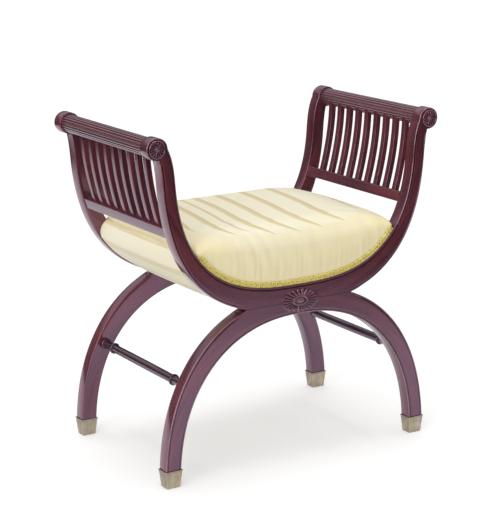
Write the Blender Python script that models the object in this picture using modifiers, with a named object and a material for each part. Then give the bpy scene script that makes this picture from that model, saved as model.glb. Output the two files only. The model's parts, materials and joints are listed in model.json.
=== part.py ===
"""Window bench with two curved X frames, slatted arms and a dished, upholstered seat.

Units are metres and +Z is up. X runs along the bench, and Y from its front (-) to its
back (+). The origin is on the floor under the middle of the bench.
"""
import math
from dataclasses import dataclass

import bmesh
import bpy
from mathutils import Vector

GAP = 0.0003  # clearance between pieces that touch
RIGHT_ANGLE = math.radians(90.0)
SIDES = {"left": -1, "right": 1}
FACES = {"front": -1, "back": 1}


@dataclass(frozen=True)
class Edge:
    """One curved edge of a frame in the XZ plane: half of a superellipse."""

    half_width: float
    height: float
    exponent: float
    base_z: float
    rise: int  # 1 for an arch, -1 for a U

    def point(self, angle):
        """Returns x and z at an angle from 0, beside the base, to a right angle, at mid span."""
        power = 2.0 / self.exponent
        x = self.half_width * max(math.cos(angle), 0.0) ** power
        return x, self.base_z + self.rise * self.height * math.sin(angle) ** power

    def normal(self, angle):
        """Returns the unit normal at an angle, pointing away from the curve's inside."""
        x, z = self.point(angle)
        across = (x / self.half_width) ** (self.exponent - 1.0) / self.half_width
        along = (abs(z - self.base_z) / self.height) ** (self.exponent - 1.0) / self.height
        length = math.hypot(across, along)
        return across / length, self.rise * along / length

    def angle_at(self, z):
        """Returns the angle at which the edge has a height z."""
        return math.asin((abs(z - self.base_z) / self.height) ** (self.exponent / 2.0))

    def x_at(self, z):
        """Returns x of the edge at a height z."""
        return self.point(self.angle_at(z))[0]

    def holds(self, x, z):
        """Tells whether a point is inside the curve."""
        across = abs(x / self.half_width) ** self.exponent
        return across + abs((z - self.base_z) / self.height) ** self.exponent < 1.0


def middle_between(inner, outer, z):
    """Returns x midway between two edges of a frame at a height z."""
    return (inner.x_at(z) + outer.x_at(z)) / 2.0


# Frames: a U that holds the seat and arms, standing on an arch with two legs
FRAME_HALF_DEPTH = 0.1865  # middle of the bench to a frame's outer face
MEMBER_THICKNESS = 0.026
MEMBER_Y = FRAME_HALF_DEPTH - MEMBER_THICKNESS / 2.0
INNER_FACE_Y = FRAME_HALF_DEPTH - MEMBER_THICKNESS
GLUE_LINE_Z = 0.319  # the U stands on its arch here
HEAD_X = 0.301  # centre of a scroll head, and of the crest rail between two of them
HEAD_Z = 0.6395
HEAD_RADIUS = 0.0207
POST_INSET = 0.0350  # from a head's centre in to the U's inner edge
POST_WIDTH = 0.0265  # of the U beside its heads
U_BASE_RISE = 0.0020  # the U's curves end this far over the heads' centres
U_BASE_Z = HEAD_Z + U_BASE_RISE
SEAT_RISE = 0.0322  # from the glue line up to the U's inner edge at mid span
SEAT_FLOOR_Z = GLUE_LINE_Z + SEAT_RISE
U_BELLY = 0.0112  # the glue line cuts this much off the U's outer curve
U_INNER_EXPONENT = 2.80
U_OUTER_EXPONENT = 2.68
U_INNER = Edge(HEAD_X - POST_INSET, U_BASE_Z - SEAT_FLOOR_Z, U_INNER_EXPONENT, U_BASE_Z, -1)
U_OUTER = Edge(
    HEAD_X - POST_INSET + POST_WIDTH, U_BASE_Z - GLUE_LINE_Z + U_BELLY, U_OUTER_EXPONENT, U_BASE_Z, -1)
SEAT_END_ANGLE = math.radians(36.8)  # where the seat ends on the U's inner edge
SEAT_END_Z = U_INNER.point(SEAT_END_ANGLE)[1]
FLARE = 0.0127  # the U's inner edge turns out by this much below the head
FLARE_DEPTH = 0.0780  # from a head's centre down to where the flare starts
FLARE_START_Z = HEAD_Z - FLARE_DEPTH
FLARE_POWER = 3.0
NECK_FLARE = 0.0044  # the U's outer edge turns out by this much where it meets the head
NECK_FLARE_DEPTH = 0.0500
NECK_FLARE_POWER = 2.0
NECK_X = U_OUTER.half_width + NECK_FLARE
NECK_Z = HEAD_Z - math.sqrt(HEAD_RADIUS ** 2 - (HEAD_X - NECK_X) ** 2)
FOOT_HALF_SPAN = 0.2968  # middle of the bench to the outside of a leg at the floor
LEG_WIDTH = 0.0323
ARCH_DROP = 0.0253  # from the glue line down to the arch's inner edge at mid span
ARCH_CROWN = 0.0185  # the glue line cuts this much off the arch's outer curve
ARCH_EXPONENT = 2.27
ARCH_INNER = Edge(FOOT_HALF_SPAN - LEG_WIDTH, GLUE_LINE_Z - ARCH_DROP, ARCH_EXPONENT, 0.0, 1)
ARCH_OUTER = Edge(FOOT_HALF_SPAN, GLUE_LINE_Z + ARCH_CROWN, ARCH_EXPONENT, 0.0, 1)

# Joints
TENON_LENGTH = 0.012
TENON_REACH = INNER_FACE_Y + TENON_LENGTH
DOWEL_RADIUS = 0.004
DOWEL_LENGTH = 0.026
DOWEL_X = 0.0725

# Sabots, and the leg tips inside them
SABOT_HEIGHT = 0.0345
SABOT_WALL = 0.0012
SABOT_FLOOR = 0.003
SABOT_RIM = 0.0010  # how far the rim stands out
SABOT_RIM_HEIGHT = 0.0025
LEG_X = middle_between(ARCH_INNER, ARCH_OUTER, SABOT_HEIGHT)
LEG_HALF_WIDTH = ARCH_OUTER.x_at(SABOT_HEIGHT) - LEG_X
TIP_TAPER_X = 0.0034  # a leg narrows by this much on each side, down to its tip
TIP_TAPER_Y = 0.0024
TIP_HALF_WIDTH = LEG_HALF_WIDTH - TIP_TAPER_X
TIP_HALF_DEPTH = MEMBER_THICKNESS / 2.0 - TIP_TAPER_Y
TIP_Z = SABOT_FLOOR + GAP

# Arms
CREST_INSET = 0.0032  # the crest rail is thinner than the heads by this much all round
CREST_RADIUS = HEAD_RADIUS - CREST_INSET
CREST_TENON_RADIUS = 0.008
REED_COUNT = 20
REED_DEPTH = 0.0012
LOWER_RAIL_RISE = 0.0424  # over the ends of the seat
LOWER_RAIL_Z = SEAT_END_Z + LOWER_RAIL_RISE
LOWER_RAIL_X = middle_between(U_INNER, U_OUTER, LOWER_RAIL_Z)
LOWER_RAIL_WIDTH = 0.024
LOWER_RAIL_HEIGHT = 0.020
LOWER_SHOULDER_X = 0.006  # of its tenons
LOWER_SHOULDER_Z = 0.003
SLAT_COUNT = 9
SLAT_PITCH = 0.0315
SLAT_WIDTH = 0.0115
SLAT_THICKNESS = 0.0105
SLAT_FOOT_OUT = 0.0025  # from the lower rail's middle
SLAT_FOOT_RISE = 0.0040
SLAT_KNEE_IN = 0.0122  # from the crest rail's middle
SLAT_KNEE_DROP = 0.0720
SLAT_TOP_IN = 0.0109
SLAT_TOP_DROP = 0.0040
SLAT_FOOT = Vector((LOWER_RAIL_X + SLAT_FOOT_OUT, LOWER_RAIL_Z + SLAT_FOOT_RISE))  # x and z
SLAT_KNEE = Vector((HEAD_X - SLAT_KNEE_IN, HEAD_Z - SLAT_KNEE_DROP))
SLAT_TOP = Vector((HEAD_X - SLAT_TOP_IN, HEAD_Z - SLAT_TOP_DROP))
ARM_LEAN = math.atan2(SLAT_KNEE.x - SLAT_FOOT.x, SLAT_KNEE.y - SLAT_FOOT.y)

# Stretchers between the front and back legs
STRETCHER_Z = 0.1865
STRETCHER_X = middle_between(ARCH_INNER, ARCH_OUTER, STRETCHER_Z)
STRETCHER_RADIUS = 0.0083
STRETCHER_SWELL = 0.0004  # it is thicker by this much at mid length
STRETCHER_TENON_RADIUS = 0.006
RING_PROUD = 0.0029  # its rings stand out by this much
RING_WIDTH = 0.008
RING_SHOULDER = 0.0014
NECK_LENGTH = 0.0285  # between the ring at the leg and the next
NECK_CUT = 0.0009  # the neck is thinner by this much

# Ornament on the frames' faces
ROSETTE_INSET = 0.0039  # a rosette is smaller than its head by this much all round
ROSETTE_RADIUS = HEAD_RADIUS - ROSETTE_INSET
ROSETTE_BOSS = 0.0046  # radius
ROSETTE_BOSS_HEIGHT = 0.0036
ROSETTE_BOSS_EASE = 0.0004
ROSETTE_GROOVE = 0.0010
ROSETTE_FLOOR = 0.0016
ROSETTE_PETAL_HEIGHT = 0.0027
ROSETTE_RIM = 0.0030
ROSETTE_RIM_HEIGHT = 0.0023
ORNAMENT_EDGE = 0.0014  # thickness at the outer edge
BOSS_TOP = 0.65  # share of a boss's radius where its top starts to fall
PATERA_RISE = 0.001  # over the glue line
PATERA_Z = GLUE_LINE_Z + PATERA_RISE
PATERA_HALF_WIDTH = 0.042
PATERA_HALF_HEIGHT = 0.0235
PATERA_BOSS = 0.24  # shares of the patera's half width and half height
PATERA_RING = 0.36
PATERA_GROOVE = 0.42
PATERA_SWELL = 0.68
PATERA_HOLLOW = 0.90
PATERA_BOSS_HEIGHT = 0.0052
PATERA_BOSS_EASE = 0.0006
PATERA_FLOOR = 0.0024
PATERA_RING_HEIGHT = 0.0032
PATERA_SWELL_HEIGHT = 0.0042

# Seat
PANEL_THICKNESS = 0.009
PANEL_END_PLAY = math.radians(0.1)
REBATE_DEPTH = 0.006
COVER_EDGE_SHARE = 0.93  # of the U's width, beside the frames
COVER_BULGE_SHARE = 0.08
COVER_ROLL = 0.10  # share of the cover's half length that rolls in at its ends
COVER_END_SHARE = 0.35
CUSHION_SETBACK = 0.0040  # from a frame's outer face
CUSHION_HALF_DEPTH = FRAME_HALF_DEPTH - CUSHION_SETBACK
CUSHION_BULGE = 0.0030
BULGE_START = 1.6  # in heights of the gimp, square to the U's inner edge
BULGE_POWER = 3.0
CUSHION_END_HEIGHT = 0.0099  # over the ends of the seat
CROWN_RISE = 0.0190  # the top is higher by this much at mid span
CROWN_POWER = 6.0  # along the bench
CROWN_FALL = 0.0060  # the crown falls by this much to the front and back
ROLL_POWER = 16.0  # from front to back, where the top rolls down into the boxing
BOXING_FALL = 0.0280  # its top is lower by this much at mid span than at the ends of the seat
END_DRAW = 0.0060  # the ends are drawn in by this much at the corners
END_DRAW_POWER = 4
END_ROLL = 0.0050
END_ROLL_POWER = 8
GIMP_HEIGHT = 0.012
GIMP_THICKNESS = 0.0025
GIMP_SHORT = math.radians(3.4)  # the gimp stops short of the seat's ends by this much
GIMP_Y = CUSHION_HALF_DEPTH + GAP + GIMP_THICKNESS / 2.0

# Fineness of curves
SEAT_STEPS = 24
CUSHION_CUTS = (28, 14, 5)
COVER_CUTS = (2 * SEAT_STEPS, 4, 1)
ROUND_STEPS = 16
EDGE_STEPS = 24
HEAD_STEPS = 18
SHOULDER_STEPS = 6
POST_STEPS = 14
SLAT_STEPS = 6
NECK_STEPS = 6
REED_STEPS = 4


def spread(start, stop, steps):
    """Returns evenly spaced values from start to stop, both included."""
    return [start + (stop - start) * step / steps for step in range(steps + 1)]


def make_collection(name):
    """Returns a new collection in the scene."""
    collection = bpy.data.collections.new(name)
    bpy.context.scene.collection.children.link(collection)
    return collection


def make_material(name, color, roughness, metallic=0.0):
    """Returns a Principled material."""
    material = bpy.data.materials.new(name)
    material.use_nodes = True
    shader = material.node_tree.nodes["Principled BSDF"]
    shader.inputs["Base Color"].default_value = (*color, 1.0)
    shader.inputs["Roughness"].default_value = roughness
    shader.inputs["Metallic"].default_value = metallic
    return material


class Workshop:
    """Holds the bench's collections and materials, and makes its pieces."""

    def __init__(self):
        for old in list(bpy.data.objects):
            bpy.data.objects.remove(old)
        self.parts = make_collection("window_bench")
        self.cutters = make_collection("cutters")
        self.origin = bpy.data.objects.new("bench_origin", None)
        self.parts.objects.link(self.origin)
        self.mahogany = make_material("mahogany", (0.115, 0.026, 0.024), 0.28)
        self.brass = make_material("aged brass", (0.36, 0.28, 0.15), 0.38, 1.0)
        self.silk = make_material("striped silk", (0.84, 0.76, 0.52), 0.62)
        self.braid = make_material("gimp braid", (0.75, 0.64, 0.13), 0.70)
        self.plywood = make_material("plywood", (0.58, 0.40, 0.19), 0.65)

    def part(self, piece, material, smooth_angle=35.0):
        """Files a piece as a part of the bench, with its material."""
        for collection in list(piece.users_collection):
            collection.objects.unlink(piece)
        self.parts.objects.link(piece)
        piece.parent = self.origin
        piece.data.materials.clear()
        piece.data.materials.append(material)
        piece.data.shade_smooth()
        piece.data.set_sharp_from_angle(angle=math.radians(smooth_angle))
        return piece

    def tool(self, piece):
        """Files a piece as a cutter or as a shape that is joined to a part."""
        for collection in list(piece.users_collection):
            collection.objects.unlink(piece)
        self.cutters.objects.link(piece)
        piece.hide_render = True
        piece.display_type = "WIRE"
        return piece


def combine(piece, tool, operation):
    """Adds an exact Boolean with a tool to a piece."""
    modifier = piece.modifiers.new(tool.name, "BOOLEAN")
    modifier.operation = operation
    modifier.object = tool


def place(name, mesh):
    """Returns a new object for a mesh, in the scene."""
    piece = bpy.data.objects.new(name, mesh)
    bpy.context.scene.collection.objects.link(piece)
    return piece


def block(name, cuts, shape):
    """Makes a box with cells along each axis, bent to shape.

    cuts gives the cells along each axis, and shape maps u, v and w, each from -1 to 1, to a
    point of the piece.
    """
    solid = bmesh.new()
    bmesh.ops.create_cube(solid, size=2.0)
    for axis, count in enumerate(cuts):
        normal = Vector((0.0, 0.0, 0.0))
        normal[axis] = 1.0
        for distance in spread(-1.0, 1.0, count)[1:-1]:
            geometry = solid.verts[:] + solid.edges[:] + solid.faces[:]
            bmesh.ops.bisect_plane(solid, geom=geometry, plane_co=normal * distance, plane_no=normal)
    for vertex in solid.verts:
        vertex.co = shape(*vertex.co)
    solid.normal_update()
    bmesh.ops.recalc_face_normals(solid, faces=solid.faces[:])
    mesh = bpy.data.meshes.new(name)
    solid.to_mesh(mesh)
    solid.free()
    return place(name, mesh)


def rod(name, radius, length, location, along_y=True):
    """Makes a round bar along Y, or along Z."""
    turn = (RIGHT_ANGLE, 0.0, 0.0) if along_y else (0.0, 0.0, 0.0)
    bpy.ops.mesh.primitive_cylinder_add(
        vertices=ROUND_STEPS, radius=radius, depth=length, location=location, rotation=turn)
    piece = bpy.context.object
    piece.name = name
    return piece


def bar(name, width, height, length, location, lean):
    """Makes a square bar along Y that leans about Y."""
    piece = block(name, (1, 1, 1), lambda u, v, w: (u * width / 2, v * length / 2, w * height / 2))
    piece.location = location
    piece.rotation_euler.y = lean
    return piece


def turned(name, profile):
    """Makes a turned piece about its own Z from radii and heights, listed from top to bottom."""
    mesh = bpy.data.meshes.new(name)
    edges = [(index, index + 1) for index in range(len(profile) - 1)]
    mesh.from_pydata([(radius, 0.0, height) for radius, height in profile], edges, [])
    piece = place(name, mesh)
    screw = piece.modifiers.new("turn", "SCREW")
    screw.axis = "Z"
    screw.steps = ROUND_STEPS
    screw.render_steps = ROUND_STEPS
    screw.use_merge_vertices = True
    screw.merge_threshold = 0.00001
    return piece


def plate(name, outline, thickness, y):
    """Makes a plate from an outline of x and z, with its middle plane at y.

    In the plate's own space, Y is the bench's Z, and Z is its thickness.
    """
    curve = bpy.data.curves.new(name, "CURVE")
    curve.dimensions = "2D"
    curve.fill_mode = "BOTH"
    curve.extrude = thickness / 2.0
    spline = curve.splines.new("POLY")
    spline.points.add(len(outline) - 1)
    for point, (x, z) in zip(spline.points, outline):
        point.co = (x, z, 0.0, 1.0)
    spline.use_cyclic_u = True
    drawing = place(name + "_outline", curve)
    drawing.location.y = y
    drawing.rotation_euler.x = RIGHT_ANGLE
    bpy.context.view_layer.update()
    graph = bpy.context.evaluated_depsgraph_get()
    mesh = bpy.data.meshes.new_from_object(drawing.evaluated_get(graph))
    solid = bmesh.new()
    solid.from_mesh(mesh)
    bmesh.ops.remove_doubles(solid, verts=solid.verts[:], dist=0.00001)
    bmesh.ops.recalc_face_normals(solid, faces=solid.faces[:])
    solid.to_mesh(mesh)
    solid.free()
    piece = place(name, mesh)
    piece.matrix_world = drawing.matrix_world
    bpy.data.objects.remove(drawing)
    return piece


def mirrored(half):
    """Completes an outline that is given from the middle round its +X side."""
    return half + [(-x, z) for x, z in reversed(half) if x > GAP]


def inner_edge(angle):
    """Returns a point of the U's inner edge, which turns out below the head."""
    x, z = U_INNER.point(angle)
    rise = max(z - FLARE_START_Z, 0.0) / (HEAD_Z - FLARE_START_Z)
    return x + FLARE * rise ** FLARE_POWER, z


def outer_edge(z):
    """Returns a point of the U's outer edge, which turns out where it meets the head."""
    rise = max(z - NECK_Z + NECK_FLARE_DEPTH, 0.0) / NECK_FLARE_DEPTH
    return U_OUTER.x_at(z) + NECK_FLARE * rise ** NECK_FLARE_POWER, z


def u_half():
    """Returns half of a U frame's outline: outer edge, scroll head and inner edge."""
    foot = U_OUTER.angle_at(GLUE_LINE_Z + GAP / 2.0)
    flare_z = NECK_Z - NECK_FLARE_DEPTH
    outline = [U_OUTER.point(angle) for angle in spread(foot, U_OUTER.angle_at(flare_z), EDGE_STEPS)]
    outline += [outer_edge(z) for z in spread(flare_z, NECK_Z, NECK_STEPS)[1:]]
    neck_x, neck_z = outline[-1]
    start = math.atan2(neck_z - HEAD_Z, neck_x - HEAD_X) % math.tau
    for angle in spread(start, math.tau + RIGHT_ANGLE, HEAD_STEPS)[1:]:
        outline.append((HEAD_X + HEAD_RADIUS * math.cos(angle), HEAD_Z + HEAD_RADIUS * math.sin(angle)))
    head_angle = U_INNER.angle_at(HEAD_Z)
    shoulder = HEAD_X - inner_edge(head_angle)[0]
    for angle in spread(RIGHT_ANGLE, math.pi, SHOULDER_STEPS)[1:-1]:
        outline.append((HEAD_X + shoulder * math.cos(angle), HEAD_Z + HEAD_RADIUS * math.sin(angle)))
    seat_end_z = U_INNER.point(SEAT_END_ANGLE)[1]
    outline += [inner_edge(U_INNER.angle_at(z)) for z in spread(HEAD_Z, seat_end_z, POST_STEPS)]
    outline += [inner_edge(angle) for angle in seat_angles(SEAT_END_ANGLE)[1:]]
    return outline


def arch_half():
    """Returns half of a leg arch's outline: inner edge, leg tip and outer edge."""
    inner_foot = ARCH_INNER.angle_at(SABOT_HEIGHT)
    outer_foot = ARCH_OUTER.angle_at(SABOT_HEIGHT)
    top = ARCH_OUTER.angle_at(GLUE_LINE_Z - GAP / 2.0)
    outline = [ARCH_INNER.point(angle) for angle in spread(RIGHT_ANGLE, inner_foot, EDGE_STEPS)]
    outline.append((LEG_X - TIP_HALF_WIDTH, TIP_Z))
    outline.append((LEG_X + TIP_HALF_WIDTH, TIP_Z))
    outline += [ARCH_OUTER.point(angle) for angle in spread(outer_foot, top, EDGE_STEPS)]
    return outline


def taper_leg_tips(arch):
    """Narrows the legs of an arch from front to back inside the sabots."""
    solid = bmesh.new()
    solid.from_mesh(arch.data)
    geometry = solid.verts[:] + solid.edges[:] + solid.faces[:]
    bmesh.ops.bisect_plane(
        solid, geom=geometry, dist=0.00001, plane_co=(0.0, SABOT_HEIGHT, 0.0), plane_no=(0.0, 1.0, 0.0))
    for vertex in solid.verts:
        if vertex.co.y < SABOT_HEIGHT / 2.0:
            vertex.co.z *= TIP_HALF_DEPTH / (MEMBER_THICKNESS / 2.0)
    solid.to_mesh(arch.data)
    solid.free()


def lofted(name, sections):
    """Makes an upright loft through rectangles, each given as z, half width and half depth."""
    def shape(u, v, w):
        z, half_width, half_depth = sections[round((w + 1.0) / 2.0 * (len(sections) - 1))]
        return u * half_width, v * half_depth, z

    return block(name, (1, 1, len(sections) - 1), shape)


def tip_section(z, growth):
    """Returns a leg tip's section at a height inside the sabot, grown all round."""
    share = (z - TIP_Z) / (SABOT_HEIGHT - TIP_Z)
    half_width = TIP_HALF_WIDTH + (LEG_HALF_WIDTH - TIP_HALF_WIDTH) * share
    half_depth = TIP_HALF_DEPTH + (MEMBER_THICKNESS / 2.0 - TIP_HALF_DEPTH) * share
    return z, half_width + growth, half_depth + growth


def build_sabots(shop):
    """Makes a brass cup with a rim for each foot."""
    skin = GAP + SABOT_WALL
    rim_z = SABOT_HEIGHT - SABOT_RIM_HEIGHT
    rim = tip_section(rim_z, skin + SABOT_RIM)
    sections = [tip_section(0.0, skin), tip_section(rim_z, skin), rim, (SABOT_HEIGHT, *rim[1:])]
    hollow = [tip_section(SABOT_FLOOR, GAP), tip_section(SABOT_HEIGHT + SABOT_FLOOR, GAP)]
    for face, y_sign in FACES.items():
        for side, x_sign in SIDES.items():
            spot = (x_sign * LEG_X, y_sign * MEMBER_Y, 0.0)
            name = f"{face}_{side}_sabot"
            sabot = shop.part(lofted(name, sections), shop.brass)
            cavity = shop.tool(lofted(name + "_hollow", hollow))
            sabot.location = spot
            cavity.location = spot
            combine(sabot, cavity, "DIFFERENCE")


def eased(share):
    """Bunches evenly spaced places from -1 to 1 towards both ends."""
    return math.sin(share * RIGHT_ANGLE)


def seat_angles(end_angle):
    """Returns angles on the U's inner edge from one end of the seat to its middle."""
    return [RIGHT_ANGLE - eased(share) * (RIGHT_ANGLE - end_angle) for share in spread(1.0, 0.0, SEAT_STEPS)]


def edge_offset(angle, depth):
    """Returns x and z at a depth square to the U's inner edge, positive into the frame."""
    x, z = U_INNER.point(angle)
    across, down = U_INNER.normal(angle)
    return x + across * depth, z + down * depth


def seat_point(along, depth, overrun=0.0):
    """Returns x and z of a point of the seat, with along from -1 to 1 between its ends."""
    angle = RIGHT_ANGLE - abs(along) * (RIGHT_ANGLE - SEAT_END_ANGLE + overrun)
    x, z = edge_offset(angle, depth)
    return math.copysign(x, along), z


def member_width(along):
    """Returns the width of the U at a place along the seat, square to its inner edge."""
    low, high = 0.0, 2.0 * (U_OUTER.height - U_INNER.height)
    for _ in range(30):
        middle = (low + high) / 2.0
        if U_OUTER.holds(*seat_point(along, middle)):
            low = middle
        else:
            high = middle
    return low


def seat_board(name, top, bottom, half_depth, overrun=0.0):
    """Makes a board that follows the U's inner edge between two depths."""
    def shape(u, v, w):
        x, z = seat_point(eased(u), bottom if w < 0.0 else top, overrun)
        return x, v * half_depth, z

    return block(name, (2 * SEAT_STEPS, 1, 1), shape)


def build_seat_panel(shop, u_frames):
    """Makes the bent panel and the rebates that hold it."""
    half_depth = INNER_FACE_Y + REBATE_DEPTH
    shop.part(seat_board("seat_panel", 0.0, PANEL_THICKNESS, half_depth), shop.plywood)
    rebate = seat_board(
        "panel_rebate", -PANEL_THICKNESS, PANEL_THICKNESS + GAP, half_depth + GAP, PANEL_END_PLAY)
    shop.tool(rebate)
    for u_frame in u_frames:
        combine(u_frame, rebate, "DIFFERENCE")


def cover_point(u, v, w):
    """Returns a point of the outer cover, which rolls in towards the panel at its ends."""
    along = eased(u)
    depth = PANEL_THICKNESS + GAP
    if w < 0.0:
        into_roll = max(abs(along) - 1.0 + COVER_ROLL, 0.0) / COVER_ROLL
        roll = max(math.sqrt(max(1.0 - into_roll ** 2, 0.0)), COVER_END_SHARE)
        full = member_width(along) * (COVER_EDGE_SHARE + COVER_BULGE_SHARE * (1.0 - v * v))
        depth += (full - depth) * roll
    x, z = seat_point(along, depth)
    return x, v * (INNER_FACE_Y - GAP), z


def cushion_point(u, v, w):
    """Returns a point of the cushion: u along the bench, v to the back and w upwards."""
    along = eased(u)
    across = eased(v)
    share = (w + 1.0) / 2.0
    end_x = seat_point(1.0, 0.0)[0]
    bottom_x, bottom_z = seat_point(along * (1.0 - across ** END_DRAW_POWER * END_DRAW / end_x), -GAP)
    edge_z = SEAT_END_Z - BOXING_FALL * (1.0 - along ** 2)
    crown_z = SEAT_END_Z + CUSHION_END_HEIGHT + CROWN_RISE * (1.0 - abs(along) ** CROWN_POWER)
    crown_z -= CROWN_FALL * across ** 2
    top_x = bottom_x - math.copysign(END_ROLL * along ** END_ROLL_POWER, along)
    top_z = edge_z + (crown_z - edge_z) * math.sqrt(max(1.0 - abs(across) ** ROLL_POWER, 0.0))
    x = bottom_x + (top_x - bottom_x) * share
    z = bottom_z + (top_z - bottom_z) * share
    angle = RIGHT_ANGLE - abs(along) * (RIGHT_ANGLE - SEAT_END_ANGLE)
    height = (z - bottom_z) * -U_INNER.normal(angle)[1]
    fullness = min(max(height / GIMP_HEIGHT - BULGE_START, 0.0), 1.0) * (1.0 - share ** BULGE_POWER)
    return x, across * (CUSHION_HALF_DEPTH + CUSHION_BULGE * fullness), z


def build_gimps(shop):
    """Makes the braid along the foot of the boxing, front and back."""
    angles = seat_angles(SEAT_END_ANGLE + GIMP_SHORT)
    foot = [edge_offset(angle, -GAP) for angle in reversed(angles)]
    head = [edge_offset(angle, -GAP - GIMP_HEIGHT) for angle in angles]
    outline = mirrored(foot + head)
    for face, y_sign in FACES.items():
        shop.part(plate(f"{face}_gimp", outline, GIMP_THICKNESS, y_sign * GIMP_Y), shop.braid)


def build_frames(shop):
    """Makes the U frames, the leg arches and the dowels between them."""
    u_frames = []
    arches = []
    u_outline = mirrored(u_half())
    arch_outline = mirrored(arch_half())
    for face, y_sign in FACES.items():
        y = y_sign * MEMBER_Y
        u_frame = plate(f"{face}_u_frame", u_outline, MEMBER_THICKNESS, y)
        arch = plate(f"{face}_leg_arch", arch_outline, MEMBER_THICKNESS, y)
        taper_leg_tips(arch)
        u_frames.append(shop.part(u_frame, shop.mahogany))
        arches.append(shop.part(arch, shop.mahogany))
        for side, x_sign in SIDES.items():
            spot = (x_sign * DOWEL_X, y, GLUE_LINE_Z)
            name = f"{face}_{side}_dowel"
            dowel = rod(name, DOWEL_RADIUS, DOWEL_LENGTH, spot, along_y=False)
            hole = rod(name + "_hole", DOWEL_RADIUS + GAP, DOWEL_LENGTH + 2 * GAP, spot, along_y=False)
            shop.part(dowel, shop.mahogany)
            shop.tool(hole)
            combine(u_frame, hole, "DIFFERENCE")
            combine(arch, hole, "DIFFERENCE")
    return u_frames, arches


def reeded_outline(x_sign):
    """Returns the outline of a crest rail: reeds with a round back and a sharp valley."""
    outline = []
    for angle in spread(0.0, math.tau, REED_STEPS * REED_COUNT)[:-1]:
        radius = CREST_RADIUS - REED_DEPTH * (1.0 - abs(math.sin(REED_COUNT * angle / 2.0)))
        outline.append((x_sign * HEAD_X + radius * math.cos(angle), HEAD_Z + radius * math.sin(angle)))
    return outline


def slat(name, x_sign, y, growth=0.0):
    """Makes a curved arm slat, or the shape of its mortises, grown all round."""
    def shape(u, v, w):
        share = (w + 1.0) / 2.0
        middle = SLAT_FOOT.lerp(SLAT_KNEE, share).lerp(SLAT_KNEE.lerp(SLAT_TOP, share), share)
        heading = (SLAT_KNEE - SLAT_FOOT).lerp(SLAT_TOP - SLAT_KNEE, share).normalized()
        side = u * (SLAT_THICKNESS / 2.0 + growth)
        end = growth if abs(w) > 0.99 else 0.0
        x = middle.x + heading.y * side + math.copysign(end, w) * heading.x
        z = middle.y - heading.x * side + math.copysign(end, w) * heading.y
        return x_sign * x, y + v * (SLAT_WIDTH / 2.0 + growth), z

    return block(name, (1, 1, SLAT_STEPS), shape)


def build_arm(shop, side, x_sign, u_frames):
    """Makes one arm: its crest rail, lower rail and slats, with their mortises."""
    visible = 2.0 * (INNER_FACE_Y - GAP)
    crest_spot = (x_sign * HEAD_X, 0.0, HEAD_Z)
    crest = plate(f"{side}_crest_rail", reeded_outline(x_sign), visible, 0.0)
    shop.part(crest, shop.mahogany, smooth_angle=50.0)
    crest_tenon = rod(f"{side}_crest_tenons", CREST_TENON_RADIUS, 2.0 * TENON_REACH, crest_spot)
    combine(crest, shop.tool(crest_tenon), "UNION")
    socket_length = 2.0 * (TENON_REACH + GAP)
    crest_socket = rod(f"{side}_crest_sockets", CREST_TENON_RADIUS + GAP, socket_length, crest_spot)
    shop.tool(crest_socket)

    rail_spot = (x_sign * LOWER_RAIL_X, 0.0, LOWER_RAIL_Z)
    tenon_width = LOWER_RAIL_WIDTH - 2.0 * LOWER_SHOULDER_X
    tenon_height = LOWER_RAIL_HEIGHT - 2.0 * LOWER_SHOULDER_Z
    lean = x_sign * ARM_LEAN
    rail = bar(f"{side}_lower_rail", LOWER_RAIL_WIDTH, LOWER_RAIL_HEIGHT, visible, rail_spot, lean)
    shop.part(rail, shop.mahogany)
    rail_tenon = bar(f"{side}_rail_tenons", tenon_width, tenon_height, 2.0 * TENON_REACH, rail_spot, lean)
    combine(rail, shop.tool(rail_tenon), "UNION")
    rail_socket = shop.tool(bar(
        f"{side}_rail_mortises", tenon_width + 2.0 * GAP, tenon_height + 2.0 * GAP, socket_length,
        rail_spot, lean))
    for u_frame in u_frames:
        combine(u_frame, crest_socket, "DIFFERENCE")
        combine(u_frame, rail_socket, "DIFFERENCE")

    for number in range(1, SLAT_COUNT + 1):
        y = SLAT_PITCH * (number - (SLAT_COUNT + 1) / 2.0)
        name = f"{side}_slat_{number}"
        shop.part(slat(name, x_sign, y), shop.mahogany)
        mortise = shop.tool(slat(name + "_mortises", x_sign, y, GAP))
        combine(crest, mortise, "DIFFERENCE")
        combine(rail, mortise, "DIFFERENCE")


def ring(middle):
    """Returns the profile of a turned ring, from its far end to its near end."""
    half = RING_WIDTH / 2.0
    radius = STRETCHER_RADIUS + RING_PROUD
    flank = radius - RING_SHOULDER
    return [(flank, middle + half), (radius, middle + half / 2.0),
            (radius, middle - half / 2.0), (flank, middle - half)]


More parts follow.
